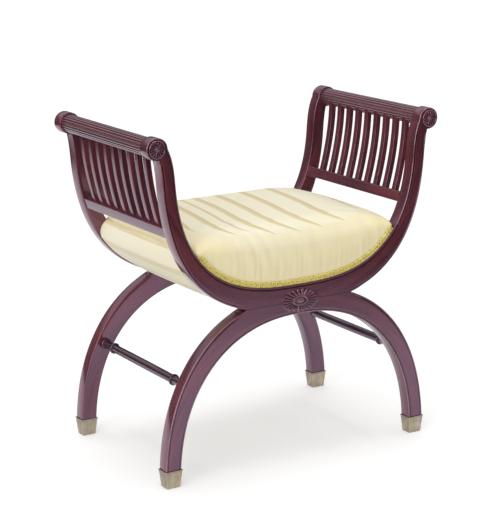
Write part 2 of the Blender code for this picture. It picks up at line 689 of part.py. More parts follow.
def build_stretchers(shop, arches):
    """Makes the turned stretchers and their sockets in the legs."""
    face = INNER_FACE_Y - GAP
    collar = ring(face - RING_WIDTH / 2.0)
    outer_ring = ring(face - 1.5 * RING_WIDTH - NECK_LENGTH)
    neck = STRETCHER_RADIUS - NECK_CUT
    half = [(0.0, TENON_REACH), (STRETCHER_TENON_RADIUS, TENON_REACH), (STRETCHER_TENON_RADIUS, face)]
    half += collar
    half += [(neck, collar[-1][1] - RING_SHOULDER), (neck, outer_ring[0][1] + RING_SHOULDER)]
    half += outer_ring
    half.append((STRETCHER_RADIUS, outer_ring[-1][1] - RING_SHOULDER))
    swell = (STRETCHER_RADIUS + STRETCHER_SWELL, 0.0)
    profile = half + [swell] + [(radius, -height) for radius, height in reversed(half)]
    for side, x_sign in SIDES.items():
        spot = (x_sign * STRETCHER_X, 0.0, STRETCHER_Z)
        stretcher = shop.part(turned(f"{side}_stretcher", profile), shop.mahogany)
        stretcher.location = spot
        stretcher.rotation_euler.x = RIGHT_ANGLE
        name = f"{side}_stretcher_sockets"
        socket = rod(name, STRETCHER_TENON_RADIUS + GAP, 2.0 * (TENON_REACH + GAP), spot)
        shop.tool(socket)
        for arch in arches:
            combine(arch, socket, "DIFFERENCE")


def rosette_profile():
    """Returns the profile of a rosette: a boss, a ring of petals and a raised rim."""
    petals = ROSETTE_BOSS + ROSETTE_GROOVE
    rim = ROSETTE_RADIUS - ROSETTE_RIM
    return [
        (0.0, ROSETTE_BOSS_HEIGHT), (ROSETTE_BOSS * BOSS_TOP, ROSETTE_BOSS_HEIGHT - ROSETTE_BOSS_EASE),
        (ROSETTE_BOSS, ROSETTE_FLOOR), (petals, ROSETTE_FLOOR),
        ((petals + rim) / 2.0, ROSETTE_PETAL_HEIGHT), (rim, ROSETTE_FLOOR),
        (rim + ROSETTE_RIM / 2.0, ROSETTE_RIM_HEIGHT), (ROSETTE_RADIUS, ORNAMENT_EDGE),
        (ROSETTE_RADIUS, 0.0), (0.0, 0.0)]


def patera_profile():
    """Returns the profile of a patera whose half width is 1: a boss, a ring and a ring of petals."""
    return [
        (0.0, PATERA_BOSS_HEIGHT), (PATERA_BOSS * BOSS_TOP, PATERA_BOSS_HEIGHT - PATERA_BOSS_EASE),
        (PATERA_BOSS, PATERA_FLOOR), (PATERA_RING, PATERA_RING_HEIGHT), (PATERA_GROOVE, PATERA_FLOOR),
        (PATERA_SWELL, PATERA_SWELL_HEIGHT), (PATERA_HOLLOW, PATERA_FLOOR), (1.0, ORNAMENT_EDGE),
        (1.0, 0.0), (0.0, 0.0)]


def build_ornament(shop):
    """Makes the rosettes on the scroll heads and the paterae over the glue lines."""
    for face, y_sign in FACES.items():
        face_y = y_sign * (FRAME_HALF_DEPTH + GAP)
        for side, x_sign in SIDES.items():
            rosette = shop.part(turned(f"{face}_{side}_rosette", rosette_profile()), shop.mahogany)
            rosette.location = (x_sign * HEAD_X, face_y, HEAD_Z)
            rosette.rotation_euler.x = -y_sign * RIGHT_ANGLE
        patera = shop.part(turned(f"{face}_patera", patera_profile()), shop.mahogany)
        patera.location = (0.0, face_y, PATERA_Z)
        patera.rotation_euler.x = -y_sign * RIGHT_ANGLE
        patera.scale = (PATERA_HALF_WIDTH, PATERA_HALF_HEIGHT, 1.0)


def main():
    """Builds the whole bench."""
    shop = Workshop()
    u_frames, arches = build_frames(shop)
    build_sabots(shop)
    build_stretchers(shop, arches)
    for side, x_sign in SIDES.items():
        build_arm(shop, side, x_sign, u_frames)
    build_seat_panel(shop, u_frames)
    shop.part(block("seat_outer_cover", COVER_CUTS, cover_point), shop.silk)
    shop.part(block("seat_cushion", CUSHION_CUTS, cushion_point), shop.silk, smooth_angle=60.0)
    build_gimps(shop)
    build_ornament(shop)


main()
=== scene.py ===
"""Looks of a window bench: beaded frames, slatted arms, carving, brass feet and a silk seat.

Everything is in metres in the CAD frame: X runs along the bench, Y from its front (-) to its
back (+), and Z is up.
"""
from __future__ import annotations

import json
import logging
import math
from dataclasses import dataclass
from enum import Enum
from functools import reduce
from typing import Sequence

import bmesh
import bpy
import numpy as np
from mathutils import Matrix, Vector

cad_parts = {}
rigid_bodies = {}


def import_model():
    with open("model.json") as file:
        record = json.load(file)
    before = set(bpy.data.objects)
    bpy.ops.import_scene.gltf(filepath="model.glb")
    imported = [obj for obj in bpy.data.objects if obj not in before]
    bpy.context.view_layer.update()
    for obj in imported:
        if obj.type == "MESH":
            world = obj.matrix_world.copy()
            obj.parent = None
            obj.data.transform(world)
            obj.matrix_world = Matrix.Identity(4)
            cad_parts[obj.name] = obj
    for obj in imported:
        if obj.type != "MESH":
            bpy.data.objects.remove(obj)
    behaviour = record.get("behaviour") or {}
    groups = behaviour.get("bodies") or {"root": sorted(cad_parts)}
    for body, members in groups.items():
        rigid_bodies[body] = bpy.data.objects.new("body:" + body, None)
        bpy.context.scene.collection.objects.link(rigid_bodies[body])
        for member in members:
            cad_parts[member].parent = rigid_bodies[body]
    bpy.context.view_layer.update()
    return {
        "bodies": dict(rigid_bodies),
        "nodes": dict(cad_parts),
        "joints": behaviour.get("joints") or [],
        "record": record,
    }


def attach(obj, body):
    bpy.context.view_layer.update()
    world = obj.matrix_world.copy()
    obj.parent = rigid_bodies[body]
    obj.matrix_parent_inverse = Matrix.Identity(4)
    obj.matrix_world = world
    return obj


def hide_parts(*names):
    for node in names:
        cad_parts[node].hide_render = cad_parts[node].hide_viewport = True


LOG = logging.getLogger("bench")
ROOT = "root"
WEAR_AND_SHADING = "age"  # a point attribute: above 0 a surface is lighter, for rubbing and painted highlight on edges and ridges; below 0 darker, for dirt, patina and painted shade in grooves, hollows and shadowed places
ARC = "arc"  # a point attribute: metres across the cloth's stripes
SIDE = "side"  # a point attribute: 0 on the cushion's top, 1 where its boxing starts and more below
GAP = 0.0003  # between pieces that touch
SEAM = 0.000004  # points closer than this are one
AXIS = 0.0002  # radius at which a turned piece ends
CORNER_LIGHT_AND_WEAR = 0.75  # lightening, for rubbing and painted highlight, in the middle of a rounded corner
RIGHT_ANGLE = math.pi / 2.0
SIDES = {"left": -1, "right": 1}
FACES = {"front": -1, "back": 1}

Point = tuple[float, float]
Triple = tuple[float, float, float]
Color = Triple
Ring = list[Triple]
Piece = bpy.types.Object


@dataclass(frozen=True)
class Edge:
    """One curved edge of a frame in the XZ plane: half of a superellipse."""

    half_width: float
    height: float
    exponent: float
    base_z: float
    rise: int

    def point(self, angle: float) -> Point:
        """Finds a point of the edge.

        Args:
            angle: from 0, beside the base, to a right angle, at mid span.

        Returns:
            Its x and z.
        """
        power = 2.0 / self.exponent
        x = self.half_width * max(math.cos(angle), 0.0) ** power
        return x, self.base_z + self.rise * self.height * math.sin(angle) ** power

    def normal(self, angle: float) -> Point:
        """Finds the unit normal at a point of the edge.

        Args:
            angle: as for the point.

        Returns:
            Its x and z, pointing away from the curve's inside.
        """
        x, z = self.point(angle)
        across = (x / self.half_width) ** (self.exponent - 1.0) / self.half_width
        along = (abs(z - self.base_z) / self.height) ** (self.exponent - 1.0) / self.height
        length = math.hypot(across, along)
        return across / length, self.rise * along / length

    def angle_at(self, z: float) -> float:
        """Returns the angle at which the edge has a height z."""
        return math.asin((abs(z - self.base_z) / self.height) ** (self.exponent / 2.0))

    def x_at(self, z: float) -> float:
        """Returns x of the edge at a height z."""
        return self.point(self.angle_at(z))[0]

    def height_beside(self, x: float) -> float:
        """Returns z of the edge at a distance x from the middle."""
        share = min(abs(x) / self.half_width, 1.0)
        return self.base_z + self.rise * self.height * (1.0 - share ** self.exponent) ** (1.0 / self.exponent)

    def holds(self, x: float, z: float) -> bool:
        """Tells whether a point is inside the curve."""
        across = abs(x / self.half_width) ** self.exponent
        return across + abs((z - self.base_z) / self.height) ** self.exponent < 1.0


@dataclass(frozen=True)
class Sizes:
    """Sizes that several pieces of the bench share, as in the CAD part."""

    half_depth: float = 0.1865
    thickness: float = 0.026
    glue_z: float = 0.319
    head_x: float = 0.301
    head_z: float = 0.6395
    head_radius: float = 0.0207
    u_inner: Edge = Edge(0.2660, 0.2903, 2.80, 0.6415, -1)
    u_outer: Edge = Edge(0.2925, 0.3337, 2.68, 0.6415, -1)
    arch_inner: Edge = Edge(0.2645, 0.2937, 2.27, 0.0, 1)
    arch_outer: Edge = Edge(0.2968, 0.3375, 2.27, 0.0, 1)
    flare: float = 0.0127
    flare_start_z: float = 0.5615
    neck_flare: float = 0.0044
    neck_flare_depth: float = 0.0500
    seat_end: float = math.radians(36.8)
    sabot_height: float = 0.0345
    sabot_floor: float = 0.003
    tip_taper_x: float = 0.0034
    tip_taper_y: float = 0.0024

    @property
    def inner_y(self) -> float:
        """Distance from the middle of the bench to a frame's inner face."""
        return self.half_depth - self.thickness

    @property
    def member_y(self) -> float:
        """Distance from the middle of the bench to the middle of a frame."""
        return self.half_depth - self.thickness / 2.0

    @property
    def leg_x(self) -> float:
        """Distance from the middle of the bench to the middle of a leg at its sabot."""
        return (self.arch_inner.x_at(self.sabot_height) + self.arch_outer.x_at(self.sabot_height)) / 2.0

    @property
    def leg_half_width(self) -> float:
        """Half the width of a leg where it enters its sabot."""
        return self.arch_outer.x_at(self.sabot_height) - self.leg_x

    @property
    def tip_z(self) -> float:
        """Height of a leg's tip inside its sabot."""
        return self.sabot_floor + GAP

    @property
    def neck_z(self) -> float:
        """Height at which the U's outer edge meets its head."""
        offset = self.head_x - self.u_outer.half_width - self.neck_flare
        return self.head_z - math.sqrt(self.head_radius ** 2 - offset ** 2)

    def outer_edge(self, z: float) -> Point:
        """Returns a point of the U's outer edge, which turns out where it meets the head."""
        rise = max(z - self.neck_z + self.neck_flare_depth, 0.0) / self.neck_flare_depth
        return self.u_outer.x_at(z) + self.neck_flare * rise ** 2, z

    def inner_edge(self, angle: float) -> Point:
        """Finds a point of the U's inner edge, which turns out below the head.

        Args:
            angle: as for a point of the edge.

        Returns:
            Its x and z.
        """
        x, z = self.u_inner.point(angle)
        rise = max(z - self.flare_start_z, 0.0) / (self.head_z - self.flare_start_z)
        return x + self.flare * rise ** 3, z

    def head_point(self, angle: float, half_width: float) -> Point:
        """Returns a point of a head's rim, which is a circle or, with another half width, an oval."""
        return self.head_x + half_width * math.cos(angle), self.head_z + self.head_radius * math.sin(angle)

    def seat_point(self, along: float, depth: float) -> Point:
        """Returns x and z on the seat's bend.

        Args:
            along: place from -1 to 1 between the seat's ends.
            depth: distance square to the U's inner edge, positive into the frame.

        Returns:
            The point's x and z.
        """
        angle = RIGHT_ANGLE - abs(along) * (RIGHT_ANGLE - self.seat_end)
        x, z = self.u_inner.point(angle)
        across, down = self.u_inner.normal(angle)
        return math.copysign(x + across * depth, along), z + down * depth


SIZES = Sizes()


def spread(start: float, stop: float, steps: int) -> list[float]:
    """Returns evenly spaced values from start to stop, both included."""
    return [start + (stop - start) * step / steps for step in range(steps + 1)]


def eased(share: float) -> float:
    """Bunches evenly spaced places from -1 to 1 towards both ends."""
    return math.sin(share * RIGHT_ANGLE)


def smooth_step(low: float, high: float, value: float) -> float:
    """Returns 0 below low, 1 above high and a smooth rise between them."""
    share = min(max((value - low) / (high - low), 0.0), 1.0)
    return share * share * (3.0 - 2.0 * share)


# Materials


class Value:
    """An output in a node tree, with operators that add Math nodes."""

    def __init__(self, graph: Graph, socket: bpy.types.NodeSocket) -> None:
        """Wraps a socket of a graph's tree."""
        self.graph = graph
        self.socket = socket

    def other(self, key: int | str) -> Value:
        """Returns another output of the same node."""
        return Value(self.graph, pick(self.socket.node.outputs, key))

    def math(self, operation: str, *others: Value | float) -> Value:
        """Returns the result of a Math node on this value and others."""
        values = dict(enumerate((self, *others)))
        return self.graph.node("ShaderNodeMath", {"operation": operation}, values)

    def __add__(self, other: Value | float) -> Value:
        """Adds another value."""
        return self.math("ADD", other)

    __radd__ = __add__

    def __sub__(self, other: Value | float) -> Value:
        """Takes another value away."""
        return self.math("SUBTRACT", other)

    def __rsub__(self, other: float) -> Value:
        """Takes this value away from a number."""
        return self.graph.node("ShaderNodeMath", {"operation": "SUBTRACT"}, {0: other, 1: self})

    def __mul__(self, other: Value | float) -> Value:
        """Multiplies by another value."""
        return self.math("MULTIPLY", other)

    def __abs__(self) -> Value:
        """Drops the sign."""
        return self.math("ABSOLUTE")

    def ramp(self, source: Point, target: Point) -> Value:
        """Maps this value smoothly from one range to another.

        Args:
            source: the range that it has.
            target: the range that it gets.

        Returns:
            The mapped value.
        """
        values: dict[str, Value | float] = {"Value": self}
        values.update(zip(("From Min", "From Max", "To Min", "To Max"), (*source, *target)))
        return self.graph.node("ShaderNodeMapRange", {"interpolation_type": "SMOOTHSTEP"}, values)

    def step(self, low: float, high: float) -> Value:
        """Returns a smooth step from 0 at low to 1 at high."""
        return self.ramp((low, high), (0.0, 1.0))


def pick(sockets: Sequence[bpy.types.NodeSocket], key: int | str) -> bpy.types.NodeSocket:
    """Picks one of a node's sockets.

    Args:
        sockets: its inputs or its outputs.
        key: the socket's place, identifier or name.

    Returns:
        The socket.
    """
    if isinstance(key, int):
        return sockets[key]
    return next(socket for socket in sockets if key in (socket.identifier, socket.name))


class Graph:
    """A node tree that is built node by node."""

    def __init__(self, tree: bpy.types.NodeTree) -> None:
        """Starts on a tree."""
        self.tree = tree

    def node(self, kind: str, settings: dict | None = None, values: dict | None = None,
             output: int | str = 0) -> Value:
        """Adds a node.

        Args:
            kind: the node's type.
            settings: the node's own properties.
            values: numbers, colours or links of its input sockets.
            output: the output to return.

        Returns:
            The output.
        """
        made = self.tree.nodes.new(kind)
        for key, setting in (settings or {}).items():
            setattr(made, key, setting)
        for key, value in (values or {}).items():
            socket = pick(made.inputs, key)
            if isinstance(value, Value):
                self.tree.links.new(value.socket, socket)
            else:
                socket.default_value = value
        return Value(self, pick(made.outputs, output))


class Shader(Graph):
    """A Principled material."""

    def __init__(self, name: str, constants: dict[str, float | tuple[float, ...]]) -> None:
        """Starts a material.

        Args:
            name: the material's name.
            constants: values of the shader's sockets that are the same all over the surface.
        """
        self.material = bpy.data.materials.new(name)
        self.material.use_nodes = True
        super().__init__(self.material.node_tree)
        self.surface = self.tree.nodes["Principled BSDF"]
        for key, value in constants.items():
            pick(self.surface.inputs, key).default_value = value

    def feed(self, key: str, value: Value) -> None:
        """Links a value to a socket of the surface."""
        self.tree.links.new(value.socket, pick(self.surface.inputs, key))

    def place(self) -> Value:
        """Returns the point in the bench's frame."""
        return self.node("ShaderNodeTexCoord", output="Object")

    def axes(self, vector: Value) -> tuple[Value, Value, Value]:
        """Returns a vector's three parts."""
        split = self.node("ShaderNodeSeparateXYZ", values={0: vector})
        return split, split.other(1), split.other(2)

    def vector(self, x: Value | float, y: Value | float, z: Value | float) -> Value:
        """Returns a vector of three parts."""
        return self.node("ShaderNodeCombineXYZ", values={0: x, 1: y, 2: z})

    def attribute(self, name: str) -> Value:
        """Returns a number that the mesh holds at each point."""
        return self.node("ShaderNodeAttribute", {"attribute_name": name}, output="Fac")

    def noise(self, vector: Value, scale: Triple, detail: float = 3.0,
              warp: float = 0.0) -> Value:
        """Adds noise.

        Args:
            vector: where it is read.
            scale: cells per metre on each axis.
            detail: how many finer layers it has.
            warp: how much it is distorted.

        Returns:
            A value from about 0 to 1.
        """
        moved = self.node("ShaderNodeMapping", values={"Vector": vector, "Scale": scale})
        values = {"Vector": moved, "Scale": 1.0, "Detail": detail, "Distortion": warp}
        return self.node("ShaderNodeTexNoise", values=values)

    def mix(self, factor: Value | float, first: Value | Color, second: Value | Color) -> Value:
        """Mixes two colours.

        Args:
            factor: 0 for the first and 1 for the second.
            first: a colour.
            second: another colour.

        Returns:
            The mixed colour.
        """
        values = {"Factor_Float": factor}
        for key, color in (("A_Color", first), ("B_Color", second)):
            values[key] = color if isinstance(color, Value) else (*color, 1.0)
        return self.node("ShaderNodeMix", {"data_type": "RGBA"}, values, "Result_Color")

    def bump(self, height: Value, depth: float, strength: float = 1.0) -> None:
        """Roughens the surface.

        Args:
            height: from 0 to 1.
            depth: metres that 1 stands for.
            strength: share of the effect.
        """
        values = {"Height": height, "Distance": depth, "Strength": strength}
        self.feed("Normal", self.node("ShaderNodeBump", values=values))


class Grain(Enum):
    """The way that the wood's grain runs in a piece."""

    BOW = "bow"
    ARCH = "arch"
    DEEP = "deep"
    UPRIGHT = "upright"
    LEVEL = "level"


@dataclass(frozen=True)
class Mahogany:
    """Polished dark mahogany, lighter on its edges for rubbing and painted highlight, and darker in its grooves
    for dirt and painted shade.
    """

    grain: Grain
    deep: Color = (0.055, 0.012, 0.018)
    warm: Color = (0.135, 0.028, 0.032)
    # colour of rubbed edges, with their painted highlight
    worn_and_lit: Color = (0.300, 0.150, 0.130)
    # colour of dirt in pores and joints, and of painted shade in grooves and recesses
    grime_and_shade: Color = (0.008, 0.003, 0.004)
    joint_half_width: float = 0.0005
    bend: float = 0.28  # a radian round a bow or arch counts as this length of grain

    def grain_vector(self, shader: Shader) -> Value:
        """Finds the place in the wood.

        Args:
            shader: the finish's nodes.

        Returns:
            A vector whose first part runs along the grain.
        """
        x, y, z = shader.axes(shader.place())
        if self.grain in (Grain.BOW, Grain.ARCH):
            rise = z if self.grain is Grain.ARCH else SIZES.head_z - z
            angle = x.math("ARCTAN2", rise)
            radius = (x * x + rise * rise).math("SQRT")
            return shader.vector(angle * self.bend, radius, y)
        order = {Grain.DEEP: (y, x, z), Grain.UPRIGHT: (z, x, y), Grain.LEVEL: (x, z, y)}
        return shader.vector(*order[self.grain])

    def material(self) -> bpy.types.Material:
        """Makes the finish.

        Returns:
            The material.
        """
        shader = Shader(f"mahogany_{self.grain.value}", {
            "IOR": 1.55, "Specular IOR Level": 1.0, "Specular Tint": (0.86, 0.64, 1.0, 1.0),
            "Coat Roughness": 0.05, "Coat IOR": 1.5})
        grain = self.grain_vector(shader)
        figure = shader.noise(grain, (5.0, 46.0, 46.0), 4.0, 0.6)
        streak = shader.noise(grain, (11.0, 260.0, 260.0), 3.0)
        pore = shader.noise(grain, (70.0, 1500.0, 1500.0), 2.0).step(0.62, 0.74)
        tone = (figure * 0.75 + streak * 0.25).step(0.30, 0.70)
        color = shader.mix(tone, self.deep, self.warm)
        color = shader.mix(pore * 0.35, color, self.grime_and_shade)
        age = shader.attribute(WEAR_AND_SHADING)
        patchy = shader.noise(shader.place(), (70.0, 70.0, 70.0), 3.0).step(0.25, 0.75)
        # edges lighten for rubbing and painted highlight, and grooves darken for dirt and painted shade
        color = shader.mix(age.step(0.15, 1.0) * (0.35 + patchy * 0.65), color, self.worn_and_lit)
        color = shader.mix((age * -1.0).step(0.1, 1.0) * 0.9, color, self.grime_and_shade)
        if self.grain in (Grain.BOW, Grain.ARCH):
            height = abs(shader.axes(shader.place())[2] - SIZES.glue_z)
            joint = 1.0 - height.step(self.joint_half_width, 2.4 * self.joint_half_width)
            color = shader.mix(joint * 0.75, color, self.grime_and_shade)
        shader.feed("Base Color", color)
        shader.feed("Roughness", 0.12 + streak * 0.08 + pore * 0.15)
        shader.feed("Coat Weight", (0.30 - pore * 0.2 + age * 0.2).math("MAXIMUM", 0.0))
        shader.bump(1.0 - pore + streak * 0.25, 0.00006)
        return shader.material


@dataclass(frozen=True)
class Brass:
    """Aged brass with a soft satin and darker corners."""

    bright: Color = (0.57, 0.49, 0.36)
    dull: Color = (0.26, 0.23, 0.20)

    def material(self) -> bpy.types.Material:
        """Makes the finish.

        Returns:
            The material.
        """
        shader = Shader("aged_brass", {"Metallic": 1.0})
        place = shader.place()
        cloud = shader.noise(place, (90.0, 90.0, 60.0), 4.0).step(0.3, 0.7)
        scratch = shader.noise(place, (1800.0, 1800.0, 60.0), 2.0)
        age = shader.attribute(WEAR_AND_SHADING)
        dark = (0.25 + cloud * 0.3 - age * 0.6).math("MINIMUM", 1.0).math("MAXIMUM", 0.0)
        shader.feed("Base Color", shader.mix(dark, self.bright, self.dull))
        shader.feed("Roughness", 0.36 + cloud * 0.12 + scratch * 0.12)
        shader.bump(scratch, 0.00004)
        return shader.material


class Lay(Enum):
    """How a cloth's stripes are laid on a piece."""

    TOP = "top"  # single stripes, which taper off where the top rolls into the boxing
    WRAP = "wrap"  # evenly spaced stripes round the outside


@dataclass(frozen=True)
class StripedSilk:
    """Cream silk with satin stripes that run from front to back."""

    lay: Lay
    cream: Color = (0.880, 0.830, 0.655)
    gold: Color = (0.640, 0.520, 0.240)
    # a yellower tone, for random cloudiness and slubs, and for painted shade and warm light on the boxing
    shade: Color = (0.880, 0.775, 0.470)
    bands: tuple[Point, ...] = (  # middle and half width of the stripes on the top
        (-0.171, 0.0065), (-0.130, 0.0070), (-0.097, 0.0040), (-0.065, 0.0075),
        (-0.015, 0.0078), (0.043, 0.0078), (0.108, 0.0080), (0.1945, 0.0080))
    pitch: float = 0.0522  # of the stripes outside
    half_width: float = 0.0085
    soft: float = 0.0010
    taper: float = 0.0085  # a stripe's half width shrinks by this much before it ends
    tone: float = 0.75  # strength in a stripe's middle
    tone_slope: float = 26.0  # and its rise per metre across the stripe
    drift: float = 0.003  # by which the stripes wander

    def single_stripes(self, run: Value, side: Value) -> Value:
        """Returns the strength of the stripes on the top.

        Args:
            run: metres across the stripes.
            side: 0 on the cushion's top, 1 where the boxing starts and more below.

        Returns:
            Up to 1 on a stripe, darker along one edge, and 0 between stripes.
        """
        bands = []
        for middle, half in self.bands:
            offset = run - middle
            distance = abs(offset) + side * side * self.taper
            band = 1.0 - distance.step(half - self.soft, half + self.soft)
            bands.append(band * (self.tone + offset * self.tone_slope))
        return reduce(lambda most, band: most.math("MAXIMUM", band), bands)

    def even_stripes(self, run: Value) -> Value:
        """Returns the strength of the stripes outside, from 0 between them to 1."""
        offset = ((run * (1.0 / self.pitch) + 100.5).math("FRACT") - 0.5) * self.pitch
        return 1.0 - abs(offset).step(self.half_width - self.soft, self.half_width + self.soft)

    def material(self) -> bpy.types.Material:
        """Makes the finish.

        Returns:
            The material.
        """
        shader = Shader(f"striped_silk_{self.lay.value}", {
            "Sheen Weight": 0.12, "Sheen Roughness": 0.45, "IOR": 1.45, "Specular IOR Level": 0.35})
        place = shader.place()
        y, z = shader.axes(place)[1:]
        run = shader.attribute(ARC)
        flat = shader.vector(run, y, z)
        run = run + (shader.noise(place, (9.0, 9.0, 9.0), 2.0) - 0.5) * self.drift
        shade = shader.noise(place, (7.0, 7.0, 7.0), 2.0).step(0.35, 0.75) * 0.25
        if self.lay is Lay.TOP:
            side = shader.attribute(SIDE)
            streak = shader.noise(place, (120.0, 10.0, 12.0), 3.0).step(0.45, 0.75)
            # painted shade and warm light: the boxing takes the yellower shade colour, and its lower part more
            # of it
            boxing = side.step(0.75, 1.0)
            satin = self.single_stripes(run, side) + streak * boxing * 0.10
            shade = shade + boxing * 0.40 + side.step(1.2, 3.2) * 0.45
        else:
            satin = self.even_stripes(run) * 0.42
        color = shader.mix(shade, self.cream, self.shade)
        color = shader.mix(satin.math("MINIMUM", 1.0), color, self.gold)
        slub = shader.noise(flat, (900.0, 26.0, 26.0), 2.0)
        weave = shader.noise(flat, (2400.0, 1500.0, 1500.0), 1.0)
        color = shader.mix(slub.step(0.3, 0.8) * 0.10, color, self.shade)
        shader.feed("Base Color", color)
        shader.feed("Roughness", 0.66 - satin * 0.16 + weave * 0.1)
        shader.bump(slub * 0.6 + weave * 0.4, 0.00012, 0.7)
        return shader.material


@dataclass(frozen=True)
class Braid:
    """Yellow gimp, with painted shade between its loops and on the tape under them."""

    light: Color = (0.950, 0.815, 0.250)
    dark: Color = (0.230, 0.140, 0.030)

    def material(self) -> bpy.types.Material:
        """Makes the finish.

        Returns:
            The material.
        """
        shader = Shader("gimp_braid", {"Sheen Weight": 0.2, "Sheen Roughness": 0.5, "Specular IOR Level": 0.3})
        place = shader.place()
        fibre = shader.noise(place, (1400.0, 1400.0, 1400.0), 2.0)
        dots = shader.noise(place, (330.0, 330.0, 330.0), 1.0)
        # painted shade inside the loops and on the tape, from the mark on the mesh
        deep = (shader.attribute(WEAR_AND_SHADING) * -1.0).step(0.0, 1.0)
        mottle = (fibre * 0.15 + dots * 0.85).step(0.54, 0.60) * 0.50
        color = shader.mix((mottle + deep * 0.55).math("MINIMUM", 1.0), self.light, self.dark)
        shader.feed("Base Color", color)
        shader.feed("Roughness", 0.6 + fibre * 0.2)
        shader.bump(fibre, 0.0002)
        return shader.material


@dataclass(frozen=True)
class Plywood:
    """Bare bent plywood under the upholstery."""

    pale: Color = (0.80, 0.71, 0.48)
    brown: Color = (0.70, 0.58, 0.35)

    def material(self) -> bpy.types.Material:
        """Makes the finish.

        Returns:
            The material.
        """
        shader = Shader("plywood", {"Specular IOR Level": 0.3})
        grain = shader.noise(shader.place(), (160.0, 9.0, 160.0), 4.0, 0.4)
        shader.feed("Base Color", shader.mix(grain.step(0.35, 0.7), self.pale, self.brown))
        shader.feed("Roughness", 0.6 + grain * 0.2)
        shader.bump(grain, 0.0001)
        return shader.material


class Finishes:
    """The bench's materials."""

    def __init__(self) -> None:
        """Makes each material once."""
        self.wood = {grain: Mahogany(grain).material() for grain in Grain}
        self.silk = {lay: StripedSilk(lay).material() for lay in Lay}
        self.brass = Brass().material()
        self.braid = Braid().material()
        self.plywood = Plywood().material()


# Meshes


def linked(piece: Piece) -> Piece:
    """Puts an object in the scene."""
    bpy.context.scene.collection.objects.link(piece)
    return piece


def mark(mesh: bpy.types.Mesh, name: str, values: Sequence[float]) -> None:
    """Stores a number at each point of a mesh."""
    data = np.asarray(values, dtype=np.float32)
    mesh.attributes.new(name, "FLOAT", "POINT").data.foreach_set("value", data)


def new_piece(name: str, vertices: Sequence, faces: Sequence, marks: dict[str, Sequence[float]] | None = None,
              sharp: float = 40.0) -> Piece:
    """Makes an object from points and faces, with its normals outwards.

    Args:
        name: the object's name.
        vertices: the points.
        faces: the faces, each a list of places in vertices.
        marks: the values at each point of the attributes that it has.
        sharp: angle in degrees over which an edge looks sharp.

    Returns:
        The object, in the scene.
    """
    mesh = bpy.data.meshes.new(name)
    mesh.from_pydata(vertices, [], faces)
    for attribute, values in (marks or {}).items():
        mark(mesh, attribute, values)
    return tidy(linked(bpy.data.objects.new(name, mesh)), sharp)


def tidy(piece: Piece, sharp: float = 40.0) -> Piece:
    """Closes a piece's seams, splits its large faces, turns its normals outwards and smooths it.

    Args:
        piece: the piece.
        sharp: angle in degrees over which an edge looks sharp.

    Returns:
        The piece.
    """
    solid = bmesh.new()
    solid.from_mesh(piece.data)
    bmesh.ops.remove_doubles(solid, verts=solid.verts[:], dist=SEAM)
    large = [face for face in solid.faces if len(face.verts) > 4]
    bmesh.ops.triangulate(solid, faces=large)
    bmesh.ops.recalc_face_normals(solid, faces=solid.faces[:])
    solid.to_mesh(piece.data)
    solid.free()
    piece.data.shade_smooth()
    piece.data.set_sharp_from_angle(angle=math.radians(sharp))
    return piece


def lofted(name: str, rings: Sequence[Ring], marks: Sequence[Sequence[float]], sharp: float = 40.0,
           attribute: str = WEAR_AND_SHADING, endless: bool = False) -> Piece:
    """Makes a closed piece through rings of equal count.

    Args:
        name: the object's name.
        rings: the points of each ring.
        marks: a value for each of these points.
        sharp: angle in degrees over which an edge looks sharp.
        attribute: what the values are.
        endless: whether the last ring joins the first, instead of a face over each end.

    Returns:
        The object, in the scene.
    """
    count, last = len(rings[0]), len(rings) - 1
    faces = []
    for row in range(last + endless):
        low, high = row * count, (row + 1) % len(rings) * count
        for place in range(count):
            after = (place + 1) % count
            faces.append((low + place, low + after, high + after, high + place))
    if not endless:
        faces += [list(range(count)), list(range(last * count, len(rings) * count))]
    flat = [value for ring in marks for value in ring]
    return new_piece(name, [point for ring in rings for point in ring], faces, {attribute: flat}, sharp)


def rounded_box(half_u: float, half_v: float, radius: float, steps: int = 4) -> list[Point]:
    """Draws a rectangle with round corners.

    Args:
        half_u: half its width.
        half_v: half its height.
        radius: of its corners.
        steps: in each corner.

    Returns:
        The points of its outline.
    """
    outline = []
    for corner in range(4):
        start = corner * RIGHT_ANGLE
        sign_u = 1.0 if corner in (0, 3) else -1.0
        sign_v = 1.0 if corner in (0, 1) else -1.0
        for angle in spread(start, start + RIGHT_ANGLE, steps):
            u = sign_u * (half_u - radius) + radius * math.cos(angle)
            v = sign_v * (half_v - radius) + radius * math.sin(angle)
            outline.append((u, v))
    return outline


def turned(name: str, profile: Sequence[Triple], steps: int, sharp: float) -> Piece:
    """Makes a piece turned about Z.

    Args:
        name: the object's name.
        profile: radius, height and the mark of rubbing and painted light, from one end to the other.
        steps: points in each ring.
        sharp: angle in degrees over which an edge looks sharp.

    Returns:
        The object, in the scene.
    """
    angles = spread(0.0, math.tau, steps)[:-1]
    rings = [[(radius * math.cos(a), radius * math.sin(a), z) for a in angles] for radius, z, _ in profile]
    return lofted(name, rings, [[age] * steps for _, _, age in profile], sharp)


def spanning(name: str, outline: Sequence[Point], shading_and_wear: Sequence[float], steps: int, sharp: float) -> Piece:
    """Makes a bar that reaches from the front frame to the back one.

    Args:
        name: the object's name.
        outline: its section, in x and z.
        shading_and_wear: lightening for rubbing and painted highlight, and darkening for dirt and painted
            shade, at each point of the section.
        steps: along the bar.
        sharp: angle in degrees over which an edge looks sharp.

    Returns:
        The object, in the scene.
    """
    reach = SIZES.inner_y - GAP
    rings = [[(x, y, z) for x, z in outline] for y in spread(-reach, reach, steps)]
    return lofted(name, rings, [shading_and_wear] * len(rings), sharp)


